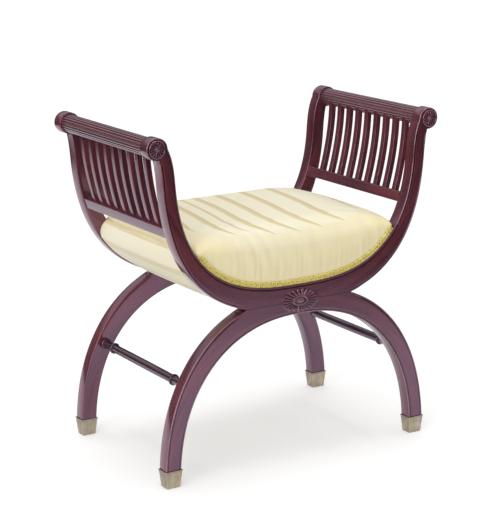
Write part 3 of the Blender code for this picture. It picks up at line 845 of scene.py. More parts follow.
def corner_light_and_wear(count: int) -> list[float]:
    """Spreads lightening round an outline of rounded_box, for rubbing and painted highlight on its corners.

    Args:
        count: how many points it has.

    Returns:
        The lightening at each point, most in the middle of each corner.
    """
    per_corner = count // 4
    middle = (per_corner - 1) / 2.0
    return [CORNER_LIGHT_AND_WEAR * (1.0 - abs(place % per_corner - middle) / max(middle, 1.0)) for place in range(count)]


def joined(name: str, pieces: Sequence[Piece]) -> Piece:
    """Joins pieces into one object and removes them.

    Args:
        name: the object's name.
        pieces: what it is made of.

    Returns:
        The object, in the scene.
    """
    solid = bmesh.new()
    for piece in pieces:
        solid.from_mesh(piece.data)
        bpy.data.objects.remove(piece)
    mesh = bpy.data.meshes.new(name)
    solid.to_mesh(mesh)
    solid.free()
    return linked(bpy.data.objects.new(name, mesh))


def baked(piece: Piece) -> Piece:
    """Applies a piece's modifiers to its mesh.

    Args:
        piece: the piece.

    Returns:
        The piece.
    """
    bpy.context.view_layer.update()
    graph = bpy.context.evaluated_depsgraph_get()
    mesh = bpy.data.meshes.new_from_object(piece.evaluated_get(graph))
    piece.modifiers.clear()
    piece.data = mesh
    return piece


def hand_in(piece: Piece, material: bpy.types.Material, slot: str, *nodes: str) -> None:
    """Gives a finished piece its material and its place on the frame.

    Args:
        piece: the piece, at the origin.
        material: its finish.
        slot: the record's material slot; not used.
        nodes: the CAD nodes that it stands for.
    """
    piece.data.materials.clear()
    piece.data.materials.append(material)
    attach(piece, ROOT)
    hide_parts(*nodes)
    LOG.info("%s: %d faces, for %s", piece.name, len(piece.data.polygons), ", ".join(nodes))


class Recipe(Graph):
    """A Geometry Nodes tree that repeats a shape."""

    def __init__(self, name: str) -> None:
        """Starts a tree with one geometry output.

        Args:
            name: the tree's name.
        """
        super().__init__(bpy.data.node_groups.new(name, "GeometryNodeTree"))
        self.tree.interface.new_socket("Geometry", in_out="OUTPUT", socket_type="NodeSocketGeometry")
        self.start = self.tree.nodes.new("NodeGroupInput")
        self.end = self.tree.nodes.new("NodeGroupOutput")

    def input(self, name: str, kind: str) -> Value:
        """Adds a named input and returns its value."""
        self.tree.interface.new_socket(name, in_out="INPUT", socket_type=f"NodeSocket{kind}")
        return Value(self, self.start.outputs[name])

    def shape(self, name: str) -> Value:
        """Adds an object input and returns that object's geometry."""
        values = {"Object": self.input(name, "Object")}
        return self.node("GeometryNodeObjectInfo", values=values, output="Geometry")

    def copies(self, points: Value, shape: str, **values: Value) -> Value:
        """Sets copies of a shape on points.

        Args:
            points: the points.
            shape: the name of the shape's input.
            values: links of other sockets, such as the rotation.

        Returns:
            The copies, as real geometry.
        """
        values.update(Points=points, Instance=self.shape(shape))
        placed = self.node("GeometryNodeInstanceOnPoints", values=values)
        return self.node("GeometryNodeRealizeInstances", values={"Geometry": placed})

    def close(self, geometry: Value) -> Recipe:
        """Sets the material and ends the tree.

        Args:
            geometry: what the tree gives.

        Returns:
            The recipe.
        """
        values = {"Geometry": geometry, "Material": self.input("Finish", "Material")}
        painted = self.node("GeometryNodeSetMaterial", values=values)
        self.tree.links.new(painted.socket, self.end.inputs[0])
        return self

    def run(self, name: str, inputs: dict[str, object]) -> Piece:
        """Runs the tree and removes the objects that were its inputs.

        Args:
            name: the name of the object that it makes.
            inputs: a value for each named input.

        Returns:
            An object with a plain mesh.
        """
        host = linked(bpy.data.objects.new(name, bpy.data.meshes.new(name + "_host")))
        modifier = host.modifiers.new(self.tree.name, "NODES")
        modifier.node_group = self.tree
        for item in self.tree.interface.items_tree:
            if item.in_out == "INPUT":
                modifier[item.identifier] = inputs[item.name]
        baked(host)
        for value in inputs.values():
            if isinstance(value, Piece):
                bpy.data.objects.remove(value)
        return host


def row_recipe() -> Recipe:
    """Makes a tree that repeats a shape along a straight row.

    Returns:
        The recipe.
    """
    recipe = Recipe("row_of_slats")
    values = {"Count": recipe.input("Count", "Int"), "Start Location": recipe.input("First", "Vector"),
              "Offset": recipe.input("Step", "Vector")}
    return recipe.close(recipe.copies(recipe.node("GeometryNodeMeshLine", values=values), "Slat"))


def petal_recipe() -> Recipe:
    """Makes a tree that repeats a petal round Z and stretches the whole to an oval.

    Returns:
        The recipe.
    """
    recipe = Recipe("ring_of_petals")
    count = recipe.input("Count", "Int")
    points = recipe.node("GeometryNodeMeshLine", values={"Count": count, "Offset": (0.0, 0.0, 0.0)})
    angle = recipe.node("GeometryNodeInputIndex").math("DIVIDE", count) * math.tau
    turn = recipe.node("ShaderNodeCombineXYZ", values={2: angle})
    petals = recipe.copies(points, "Petal", Rotation=turn)
    values = {"Geometry": petals, "Scale": recipe.input("Stretch", "Vector")}
    return recipe.close(recipe.node("GeometryNodeTransform", values=values))


def braid_recipe() -> Recipe:
    """Makes a tree that repeats a loop of braid along a path in an XZ plane.

    Returns:
        The recipe.
    """
    recipe = Recipe("loops_along_edge")
    curve = recipe.node("GeometryNodeMeshToCurve", values={"Mesh": recipe.shape("Path")})
    values = {"Curve": curve, "Length": recipe.input("Pitch", "Float")}
    points = recipe.node("GeometryNodeCurveToPoints", {"mode": "LENGTH"}, values, "Points")
    heading = recipe.node("ShaderNodeSeparateXYZ", values={0: points.other("Tangent")})
    turn = recipe.node("ShaderNodeCombineXYZ", values={1: heading.other(2).math("ARCTAN2", heading) * -1.0})
    return recipe.close(recipe.copies(points, "Loop", Rotation=turn))


# Frames


@dataclass(frozen=True)
class Moulding:
    """The section of a frame member at its rim: a bead and a quirk on the face that shows.

    Each step gives a distance in from the rim, a sink below the nearer face, and a mark: above 0 the bead and
    arris are lighter, for rubbing and painted highlight, below 0 the quirk is darker, for dirt and painted
    shade.
    """

    show: tuple[Triple, ...] = (
        (0.0070, 0.0, 0.0), (0.0057, 0.0, 0.4), (0.0053, 0.0001, 0.6), (0.0049, 0.0012, -1.0),
        (0.0034, 0.0013, -1.0), (0.0029, 0.0003, -0.3), (0.0023, 0.0, 0.3), (0.0015, 0.0001, 0.6),
        (0.0007, 0.0003, 1.0), (0.0002, 0.0009, 0.7), (0.0, 0.0016, 0.2))
    hidden: tuple[Triple, ...] = (
        (0.0, 0.0012, 0.0), (0.0003, 0.0004, 0.4), (0.0010, 0.0, 0.2), (0.0070, 0.0, 0.0))


@dataclass
class FrameMember:
    """A curved member of the front or back frame: a U or a leg arch."""

    name: str
    node: str
    face: int
    rim: list[Point]
    grain: Grain
    moulding: Moulding = Moulding()
    plain: float = 0.012  # the bead stops this far from the glue line
    fade: float = 0.036  # and is full this far from it
    corners: Sequence[Point] = ()  # sharp inside corners, where the bead dies out too
    corner_fade: float = 0.012
    mitre_limit: float = 2.2  # a corner stretches the section by no more than this
    shadowed_below: float = 0.0  # an edge that faces up below this height, under the gimp, gets painted shadow instead of its lighter edge
    grime_and_shade: float = 0.7  # the painted shadow's darkness is this share of the lightening it had

    def inward(self) -> list[Point]:
        """Finds the mitred inward normals.

        Returns:
            One for each point of the rim.
        """
        points = np.array(self.rim)
        steps = np.diff(points, axis=0)
        steps /= np.linalg.norm(steps, axis=1)[:, None]
        normals = np.stack([-steps[:, 1], steps[:, 0]], axis=1)
        before = np.vstack([normals[:1], normals])
        after = np.vstack([normals, normals[-1:]])
        mitre = before + after
        mitre /= np.linalg.norm(mitre, axis=1)[:, None]
        stretch = np.clip(1.0 / np.sum(mitre * after, axis=1), 1.0, self.mitre_limit)
        return [tuple(row) for row in mitre * stretch[:, None]]

    def taper(self, y: float, z: float) -> float:
        """Narrows the member inside a sabot.

        Args:
            y: of a point of the full member.
            z: the point's height.

        Returns:
            The point's y, nearer the middle of the member.
        """
        drop = min(max((SIZES.sabot_height - z) / (SIZES.sabot_height - SIZES.tip_z), 0.0), 1.0)
        middle = self.face * SIZES.member_y
        return middle + (y - middle) * (1.0 - drop * SIZES.tip_taper_y / (SIZES.thickness / 2.0))

    def section(self, point: Point, normal: Point, shaped: float) -> tuple[Ring, list[float]]:
        """Returns the ring of a member at one point of its rim, and its marks of rubbing and painted light
        round it.

        Args:
            point: x and z of the rim.
            normal: the mitred inward normal there.
            shaped: 1 where the bead is full and 0 where the edge is plain.

        Returns:
            The points from the field of the face that shows, over the rim, to the hidden field.
        """
        sides = ((self.moulding.show, self.face * SIZES.half_depth, -self.face),
                 (self.moulding.hidden, self.face * SIZES.inner_y, self.face))
        ring = []
        wear_and_shading_values = []
        for steps, face_y, inward in sides:
            for distance, sink, age in steps:
                x = point[0] + normal[0] * distance
                z = point[1] + normal[1] * distance
                ring.append((x, self.taper(face_y + inward * sink * shaped, z), z))
                wear_and_shading_values.append(age * shaped)
        return ring, wear_and_shading_values

    def build(self, finishes: Finishes) -> None:
        """Makes the member and dresses it.

        Args:
            finishes: the bench's materials.
        """
        gaps = np.linalg.norm(np.diff(np.array(self.rim), axis=0), axis=1)
        lengths = np.concatenate([[0.0], np.cumsum(gaps)])
        vertices: Ring = []
        wear_and_shading_values: list[float] = []
        for point, normal, length in zip(self.rim, self.inward(), lengths):
            shaped = smooth_step(self.plain, self.fade, min(length, lengths[-1] - length))
            for corner in self.corners:
                shaped *= smooth_step(0.0, self.corner_fade, math.dist(point, corner))
            ring, shading_and_wear = self.section(point, normal, shaped)
            # painted shadow along the edge under the gimp
            if normal[1] < 0.0 and point[1] < self.shadowed_below:
                shading_and_wear = [-self.grime_and_shade * max(age, 0.0) + min(age, 0.0) for age in shading_and_wear]
            vertices += ring
            wear_and_shading_values += shading_and_wear
        count = len(self.moulding.show) + len(self.moulding.hidden)
        arris = len(self.moulding.show) - 1
        last = (len(self.rim) - 1) * count
        faces = []
        for row in range(len(self.rim) - 1):
            low, high = row * count, (row + 1) * count
            faces += [(low + k, low + k + 1, high + k + 1, high + k) for k in range(count - 1)]
        rows = range(len(self.rim))
        shown = [row * count for row in rows]
        shown += [last + k for k in range(1, arris + 1)] + [k for k in range(arris, 0, -1)]
        hidden = [row * count + count - 1 for row in rows]
        hidden += [last + k for k in range(count - 2, arris, -1)] + [k for k in range(arris + 1, count - 1)]
        faces += [shown, hidden, [arris, arris + 1, last + arris + 1, last + arris]]
        piece = new_piece(self.name, vertices, faces, {WEAR_AND_SHADING: wear_and_shading_values}, sharp=50.0)
        hand_in(piece, finishes.wood[self.grain], "mahogany", self.node)


def mirrored(half: Sequence[Point]) -> list[Point]:
    """Completes an open line that is given from one end to the middle of the bench."""
    return list(half) + [(-x, z) for x, z in reversed(half) if abs(x) > GAP]


def u_rim() -> list[Point]:
    """Draws the rim of a U.

    Returns:
        Points from one end of its glue line over both heads to the other end.
    """
    sizes = SIZES
    foot = sizes.u_outer.angle_at(sizes.glue_z + GAP / 2.0)
    flare_z = sizes.neck_z - sizes.neck_flare_depth
    half = [sizes.u_outer.point(angle) for angle in spread(foot, sizes.u_outer.angle_at(flare_z), 60)]
    half += [sizes.outer_edge(z) for z in spread(flare_z, sizes.neck_z, 14)[1:]]
    start = math.atan2(half[-1][1] - sizes.head_z, half[-1][0] - sizes.head_x) % math.tau
    turn = spread(start, math.tau + RIGHT_ANGLE, 32)[1:]
    half += [sizes.head_point(angle, sizes.head_radius) for angle in turn]
    shoulder = sizes.head_x - sizes.inner_edge(sizes.u_inner.angle_at(sizes.head_z))[0]
    half += [sizes.head_point(angle, shoulder) for angle in spread(RIGHT_ANGLE, math.pi, 12)[1:-1]]
    low_z = sizes.u_inner.point(sizes.seat_end)[1]
    half += [sizes.inner_edge(sizes.u_inner.angle_at(z)) for z in spread(sizes.head_z, low_z, 30)]
    half += [sizes.inner_edge(angle) for angle in spread(sizes.seat_end, RIGHT_ANGLE, 48)[1:]]
    return mirrored(half)


def arch_rim() -> list[Point]:
    """Draws the rim of a leg arch.

    Returns:
        Points from one end of its glue line round both legs to the other end.
    """
    sizes = SIZES
    top = sizes.arch_outer.angle_at(sizes.glue_z - GAP / 2.0)
    outer_foot = sizes.arch_outer.angle_at(sizes.sabot_height)
    inner_foot = sizes.arch_inner.angle_at(sizes.sabot_height)
    tip = sizes.leg_half_width - sizes.tip_taper_x
    half = [sizes.arch_outer.point(angle) for angle in spread(top, outer_foot, 60)]
    half += [(sizes.leg_x + tip, sizes.tip_z), (sizes.leg_x - tip, sizes.tip_z)]
    half += [sizes.arch_inner.point(angle) for angle in spread(inner_foot, RIGHT_ANGLE, 60)]
    return [(-x, z) for x, z in mirrored(half)]


# Arms and stretchers


@dataclass
class Arm:
    """One arm: a reeded crest rail, a lower rail and curved slats between them."""

    side: str
    crest_radius: float = 0.0175
    reeds: int = 20
    reed_depth: float = 0.0016
    reed_light_and_wear: float = 0.60
    crests: Point = (0.8, 1.0)  # shares of a reed's swell between which the painted highlight and rubbing start
    grooves: Point = (0.70, 0.1)  # and the painted shade and dirt
    rail_z: float = 0.4825
    rail_half_width: float = 0.012
    rail_half_height: float = 0.010
    slats: int = 9
    slat_pitch: float = 0.0315
    slat_half_width: float = 0.00575
    slat_half_thickness: float = 0.00525
    slat_foot: Point = (0.0025, 0.0040)  # from the middle of the lower rail
    slat_knee: Point = (-0.0122, -0.0720)  # from the middle of the head
    slat_top: Point = (-0.0109, -0.0040)
    edge_round: float = 0.0008

    @property
    def sign(self) -> int:
        """-1 on the left and 1 on the right."""
        return SIDES[self.side]

    @property
    def rail_x(self) -> float:
        """Distance from the middle of the bench to the middle of the lower rail."""
        return (SIZES.u_inner.x_at(self.rail_z) + SIZES.u_outer.x_at(self.rail_z)) / 2.0

    def slat_line(self) -> tuple[Vector, Vector, Vector]:
        """Finds the middle line of a slat.

        Returns:
            Its foot, knee and top, in x and z.
        """
        rail, head = (self.rail_x, self.rail_z), (SIZES.head_x, SIZES.head_z)
        marks = ((rail, self.slat_foot), (head, self.slat_knee), (head, self.slat_top))
        return tuple(Vector((x + out, z + up)) for (x, z), (out, up) in marks)

    def crest(self, finishes: Finishes) -> None:
        """Makes the reeded crest rail.

        Args:
            finishes: the bench's materials.
        """
        middle = self.sign * SIZES.head_x
        outline = []
        shading_and_wear = []
        for angle in spread(0.0, math.tau, self.reeds * 12)[:-1]:
            swell = abs(math.sin(self.reeds * angle / 2.0))
            radius = self.crest_radius - self.reed_depth * (1.0 - math.sqrt(swell))
            outline.append((middle + radius * math.cos(angle), SIZES.head_z + radius * math.sin(angle)))
            # reed crests are lighter for painted highlight and rubbing, grooves darker for painted shade and
            # dirt
            shading_and_wear.append(self.reed_light_and_wear * smooth_step(*self.crests, swell) - smooth_step(*self.grooves, swell))
        piece = spanning(f"{self.side}_reeded_crest", outline, shading_and_wear, steps=12, sharp=55.0)
        hand_in(piece, finishes.wood[Grain.DEEP], "mahogany", f"{self.side}_crest_rail")

    def lower_rail(self, finishes: Finishes) -> None:
        """Makes the lower rail, which leans with the slats.

        Args:
            finishes: the bench's materials.
        """
        foot, knee, _ = self.slat_line()
        lean = math.atan2(knee.x - foot.x, knee.y - foot.y)
        outline = []
        for u, w in rounded_box(self.rail_half_width, self.rail_half_height, self.edge_round):
            x = self.rail_x + u * math.cos(lean) + w * math.sin(lean)
            outline.append((self.sign * x, self.rail_z - u * math.sin(lean) + w * math.cos(lean)))
        piece = spanning(f"{self.side}_arm_rail", outline, corner_light_and_wear(len(outline)), steps=10, sharp=30.0)
        hand_in(piece, finishes.wood[Grain.DEEP], "mahogany", f"{self.side}_lower_rail")

    def slat(self) -> Piece:
        """Makes one slat at the middle of the arm.

        Returns:
            The pattern of the row.
        """
        foot, knee, top = self.slat_line()
        outline = rounded_box(self.slat_half_thickness, self.slat_half_width, self.edge_round, 3)
        rings = []
        for share in spread(0.0, 1.0, 16):
            middle = foot.lerp(knee, share).lerp(knee.lerp(top, share), share)
            heading = (knee - foot).lerp(top - knee, share).normalized()
            ring = [(middle.x + heading.y * u, v, middle.y - heading.x * u) for u, v in outline]
            rings.append([(self.sign * x, y, z) for x, y, z in ring])
        shading_and_wear = corner_light_and_wear(len(outline))
        return lofted(f"{self.side}_slat_pattern", rings, [shading_and_wear] * len(rings), sharp=30.0)

    def slat_row(self, recipe: Recipe, finishes: Finishes) -> None:
        """Makes the row of slats.

        Args:
            recipe: the tree that repeats a slat.
            finishes: the bench's materials.
        """
        first = -self.slat_pitch * (self.slats - 1) / 2.0
        wood = finishes.wood[Grain.UPRIGHT]
        inputs = {"Count": self.slats, "First": (0.0, first, 0.0), "Step": (0.0, self.slat_pitch, 0.0),
                  "Slat": self.slat(), "Finish": wood}
        piece = recipe.run(f"{self.side}_slats", inputs)
        nodes = [f"{self.side}_slat_{number}" for number in range(1, self.slats + 1)]
        hand_in(piece, wood, "mahogany", *nodes)

    def build(self, recipe: Recipe, finishes: Finishes) -> None:
        """Makes the arm's pieces and dresses them.

        Args:
            recipe: the tree that repeats a slat.
            finishes: the bench's materials.
        """
        self.crest(finishes)
        self.lower_rail(finishes)
        self.slat_row(recipe, finishes)


@dataclass
class Stretcher:
    """A turned stretcher between the front and back legs on one side."""

    side: str
    z: float = 0.1865
    radius: float = 0.0083
    swell: float = 0.0004
    proud: float = 0.0029
    ring_width: float = 0.0080
    neck_length: float = 0.0285
    neck_cut: float = 0.0009
    fillet: float = 0.0012
    fillet_proud: float = 0.0004
    bead_proud: float = 0.0006
    # painted shade: this darkens the whole stretcher, which stands in the bench's shadow
    age: float = -0.85

    def ring(self, middle: float) -> list[Point]:
        """Draws a half-round ring between two fillets.

        Args:
            middle: its place along the stretcher.

        Returns:
            Radii and heights, from far to near.
        """
        half = self.ring_width / 2.0
        bead = half - self.fillet
        profile = [(self.radius + self.fillet_proud, middle + half)]
        for angle in spread(0.0, math.pi, 10):
            swell = self.bead_proud + (self.proud - self.bead_proud) * math.sin(angle)
            profile.append((self.radius + swell, middle + bead * math.cos(angle)))
        profile.append((self.radius + self.fillet_proud, middle - half))
        return profile

    def build(self, finishes: Finishes) -> None:
        """Makes the stretcher and dresses it.

        Args:
            finishes: the bench's materials.
        """
        face = SIZES.inner_y - GAP
        collar = self.ring(face - self.ring_width / 2.0)
        outer = self.ring(face - 1.5 * self.ring_width - self.neck_length)
        neck = self.radius - self.neck_cut
        half = [(AXIS, face)] + collar
        for share in spread(0.0, 1.0, 8):
            height = collar[-1][1] + (outer[0][1] - collar[-1][1]) * share
            half.append((neck + self.neck_cut * (2.0 * share - 1.0) ** 4, height))
        half += outer
        for share in spread(0.0, 1.0, 8):
            half.append((self.radius + self.swell * eased(share), outer[-1][1] * (1.0 - share)))
        profile = half + [(radius, -height) for radius, height in reversed(half[:-1])]
        worn_and_lit = [(radius, height, self.age) for radius, height in profile]
        piece = turned(f"{self.side}_turned_stretcher", worn_and_lit, steps=40, sharp=40.0)
        x = (SIZES.arch_inner.x_at(self.z) + SIZES.arch_outer.x_at(self.z)) / 2.0
        move = Matrix.Translation((SIDES[self.side] * x, 0.0, self.z)) @ Matrix.Rotation(RIGHT_ANGLE, 4, "X")
        piece.data.transform(move)
        hand_in(piece, finishes.wood[Grain.DEEP], "mahogany", f"{self.side}_stretcher")


@dataclass
class Sabot:
    """A brass cup with a small rim on one foot."""

    face: str
    side: str
    wall: float = 0.0012
    rim: float = 0.0010
    rim_height: float = 0.0025
    corner: float = 0.0012
    corner_shine: float = 0.6  # share of the wear at its corners
    dull: float = 0.35  # darkening of its two sides that face along the bench

    def half_sizes(self, z: float, growth: float) -> Point:
        """Finds the size of the leg's tip.

        Args:
            z: the height.
            growth: what is added all round.

        Returns:
            Half its width and half its depth.
        """
        share = (z - SIZES.tip_z) / (SIZES.sabot_height - SIZES.tip_z)
        half_width = SIZES.leg_half_width - SIZES.tip_taper_x * (1.0 - share)
        half_depth = SIZES.thickness / 2.0 - SIZES.tip_taper_y * (1.0 - share)
        return half_width + growth, half_depth + growth

    def build(self, finishes: Finishes) -> None:
        """Makes the cup and dresses it.

        Args:
            finishes: the bench's materials.
        """
        skin = GAP + self.wall
        top = SIZES.sabot_height
        rim_z = top - self.rim_height
        steps = [  # height, growth past the leg and wear, from inside over the rim to the ground
            (SIZES.sabot_floor, GAP, -1.0), (top - 0.0006, GAP, -1.0),
            (top - 0.0001, GAP + 0.0003, 0.2), (top, skin - 0.0003, 0.6),
            (top - 0.0002, skin + 0.8 * self.rim, 0.8), (top - 0.0006, skin + self.rim, 0.5),
            (top - 0.0013, skin + 0.95 * self.rim, 0.0), (rim_z + 0.0005, skin + 0.35 * self.rim, -0.8),
            (rim_z, skin, -1.0), (rim_z - 0.0012, skin, -0.2), (0.016, skin, 0.1), (0.0012, skin, 0.0),
            (0.0003, skin - 0.0003, 0.5), (0.0, skin - 0.0010, -0.2)]
        x = SIDES[self.side] * SIZES.leg_x
        y = FACES[self.face] * SIZES.member_y
        rings = []
        wear_and_shading_values = []
        for z, growth, age in steps:
            half_width, half_depth = self.half_sizes(z, growth)
            outline = rounded_box(half_width, half_depth, self.corner)
            rings.append([(x + u, y + v, z) for u, v in outline])
            wear_and_shading_values.append([])
            for (u, _), shading_and_wear in zip(outline, corner_light_and_wear(len(outline))):
                low = -self.dull if abs(u) > half_width - self.wall / 4.0 else 0.0
                wear_and_shading_values[-1].append(age + shading_and_wear * self.corner_shine + low)
        piece = lofted(f"{self.face}_{self.side}_brass_foot", rings, wear_and_shading_values, sharp=35.0)
        hand_in(piece, finishes.brass, "brass", f"{self.face}_{self.side}_sabot")


# Carving

CARVED = 60.0  # degrees over which an edge of carving looks sharp


@dataclass(frozen=True)
class Petal:
    """A carved petal that points along X from the middle of an ornament."""

    start: float
    stop: float
    half_width: float
    height: float
    base: float
    cut: float = 0.0004  # depth of the hollow along its middle
    hollow: float = 0.6  # share of the width that the hollow takes
    root: float = 0.42  # share of the width at the start
    round_from: float = 0.72  # share of the length where the end starts to round off
    blunt: float = 0.04  # squared share of the width at the very end
    low: float = 0.72  # share of the height at the start
    thin: float = 0.35  # and at a point
    sunk: float = 0.0005  # its underside is this far under the base
    ridge_light_and_wear: float = 0.35
    edge: float = 0.9  # share of the width past which the petal is darker, for painted shade and dirt

    def build(self) -> Piece:
        """Makes the petal with a few dozen faces.

        Returns:
            The pattern of the ring.
        """
        rings = []
        wear_and_shading_values = []
        for share in spread(0.0, 1.0, 6):
            radius = self.start + (self.stop - self.start) * share
            past = max((share - self.round_from) / (1.0 - self.round_from), 0.0)
            tip = math.sqrt(max(1.0 - past ** 2, self.blunt))
            half = self.half_width * (self.root + (1.0 - self.root) * share) * tip
            arch = self.low + (1.0 - self.low) * math.sin(share * math.pi)
            rise = self.height * arch * (self.thin + (1.0 - self.thin) * tip)
            ring = []
            shading_and_wear = []
            for place in spread(-1.0, 1.0, 6):
                dome = math.sqrt(max(1.0 - place * place, 0.0))
                hollow = self.cut * max(1.0 - abs(place) / self.hollow, 0.0)
                ring.append((radius, half * place, self.base + rise * dome - hollow))
                # ridges are lighter for painted highlight and rubbing; edges darker for painted shade and dirt
                ridge = math.sin(math.pi * abs(place)) ** 2
                shading_and_wear.append(self.ridge_light_and_wear * ridge - (abs(place) > self.edge))
            rings.append(ring + [(radius, 0.0, self.base - self.sunk)])
            wear_and_shading_values.append(shading_and_wear + [-1.0])
        return lofted("petal_pattern", rings, wear_and_shading_values, sharp=CARVED)


def faced(face: int, x: float, z: float) -> Matrix:
    """Sets an ornament, made about Z, against the outside of a frame.

    Args:
        face: -1 at the front and 1 at the back.
        x: of its middle.
        z: of its middle.

    Returns:
        The matrix that moves it there.
    """
    turn = Matrix.Rotation(RIGHT_ANGLE, 4, "X")
    if face > 0:
        turn = Matrix.Rotation(math.pi, 4, "Z") @ turn
    return Matrix.Translation((x, face * (SIZES.half_depth + GAP), z)) @ turn


@dataclass(frozen=True)
class Ornament:
    """A carved design: a moulded disc with a ring of petals."""

    profile: Sequence[Triple]  # radius, height and the mark of rubbing and painted light, below 0 in the recesses for painted shade and dirt, from the rim's foot inwards
    petal: Petal
    petals: int
    stretch: Triple

    def build(self, node: str, place: Matrix, recipe: Recipe, finishes: Finishes) -> None:
        """Carves the design once and dresses it.

        Args:
            node: the CAD node that it stands for.
            place: where it is set.
            recipe: the tree that repeats its petals.
            finishes: the bench's materials.
        """
        name = node + "_carved"
        wood = finishes.wood[Grain.LEVEL]
        disc = turned(name + "_disc", self.profile, steps=72, sharp=CARVED)
        disc.data.transform(Matrix.Diagonal((*self.stretch, 1.0)))
        inputs = {"Count": self.petals, "Petal": self.petal.build(), "Stretch": self.stretch, "Finish": wood}
        piece = joined(name, [disc, recipe.run(name + "_petals", inputs)])
        piece.data.shade_smooth()
        piece.data.set_sharp_from_angle(angle=math.radians(CARVED))
        piece.data.transform(place)
        hand_in(piece, wood, "mahogany", node)


ROSETTE = Ornament(
    profile=(
        (0.0164, 0.0, -0.6), (0.0168, 0.0006, -0.3), (0.0167, 0.0014, 0.3), (0.0161, 0.0022, 0.7),
        (0.0152, 0.0024, 0.5), (0.0144, 0.0019, -0.4), (0.0140, 0.0011, -1.0), (0.0056, 0.0011, -1.0),
        (0.0052, 0.0018, -0.5), (0.0046, 0.0026, 0.4), (0.0039, 0.0027, 0.3), (0.0034, 0.0021, -0.9),
        (0.0029, 0.0028, 0.2), (0.0018, 0.0034, 0.6), (0.0001, 0.0036, 0.5)),
    petal=Petal(start=0.0050, stop=0.0141, half_width=0.0023, height=0.0018, base=0.0009),
    petals=14, stretch=(1.0, 1.0, 1.0))
PATERA = Ornament(  # its radii are shares, which the stretch makes an oval
    profile=(
        (0.985, 0.0, -0.6), (1.0, 0.0006, -0.3), (0.985, 0.0013, 0.2), (0.94, 0.0013, -0.8),
        (0.47, 0.0016, -1.0), (0.435, 0.0026, -0.2), (0.40, 0.0036, 0.5), (0.36, 0.0038, 0.6),
        (0.32, 0.0034, 0.3), (0.285, 0.0022, -0.9), (0.235, 0.0022, -1.0), (0.20, 0.0034, 0.0),
        (0.15, 0.0046, 0.5), (0.08, 0.0051, 0.6), (0.002, 0.0052, 0.5)),
    petal=Petal(start=0.46, stop=0.97, half_width=0.112, height=0.0028, base=0.0013),
    petals=22, stretch=(0.042, 0.0235, 1.0))
PATERA_RISE = 0.001  # of its middle over the glue line


# Seat

SEAT_SIDE = 0.262  # the seat's floor is level past this distance from the middle


@dataclass(frozen=True)
class Waves:
    """Uneven waves in the cloth along the bench, from -1 to 1. Rates are in radians per metre."""

    rate: float
    wander: float  # radians by which the waves wander
    wander_rate: float
    wander_start: float
    swell: float  # share by which they come and go
    swell_rate: float
    swell_start: float
    slant: float = 0.0  # metres along the bench for a metre up
    skew: float = 0.0  # rate from front to back

    def at(self, x: np.ndarray, y: np.ndarray, height: np.ndarray) -> np.ndarray:
        """Finds the waves at points of the cloth.

        Args:
            x: the points' places along the bench.
            y: their places from front to back.
            height: their heights over the seat's floor.

        Returns:
            A value for each point.
        """
        run = x + self.slant * height
        wander = self.wander * np.sin(run * self.wander_rate + self.wander_start)
        swell = self.swell * np.sin(x * self.swell_rate + self.swell_start)
        return np.sin(run * self.rate + wander + self.skew * y) * (1.0 - self.swell + swell)


def risen(values: np.ndarray, start: float, stop: float) -> np.ndarray:
    """Returns a straight rise from 0 at start to 1 at stop."""
    return np.clip((values - start) / (stop - start), 0.0, 1.0)


def seat_floor(x: np.ndarray) -> np.ndarray:
    """Returns the height of the U's inner edge, where the seat starts, at places along the bench."""
    return np.array([SIZES.u_inner.height_beside(min(abs(place), SEAT_SIDE)) for place in x])


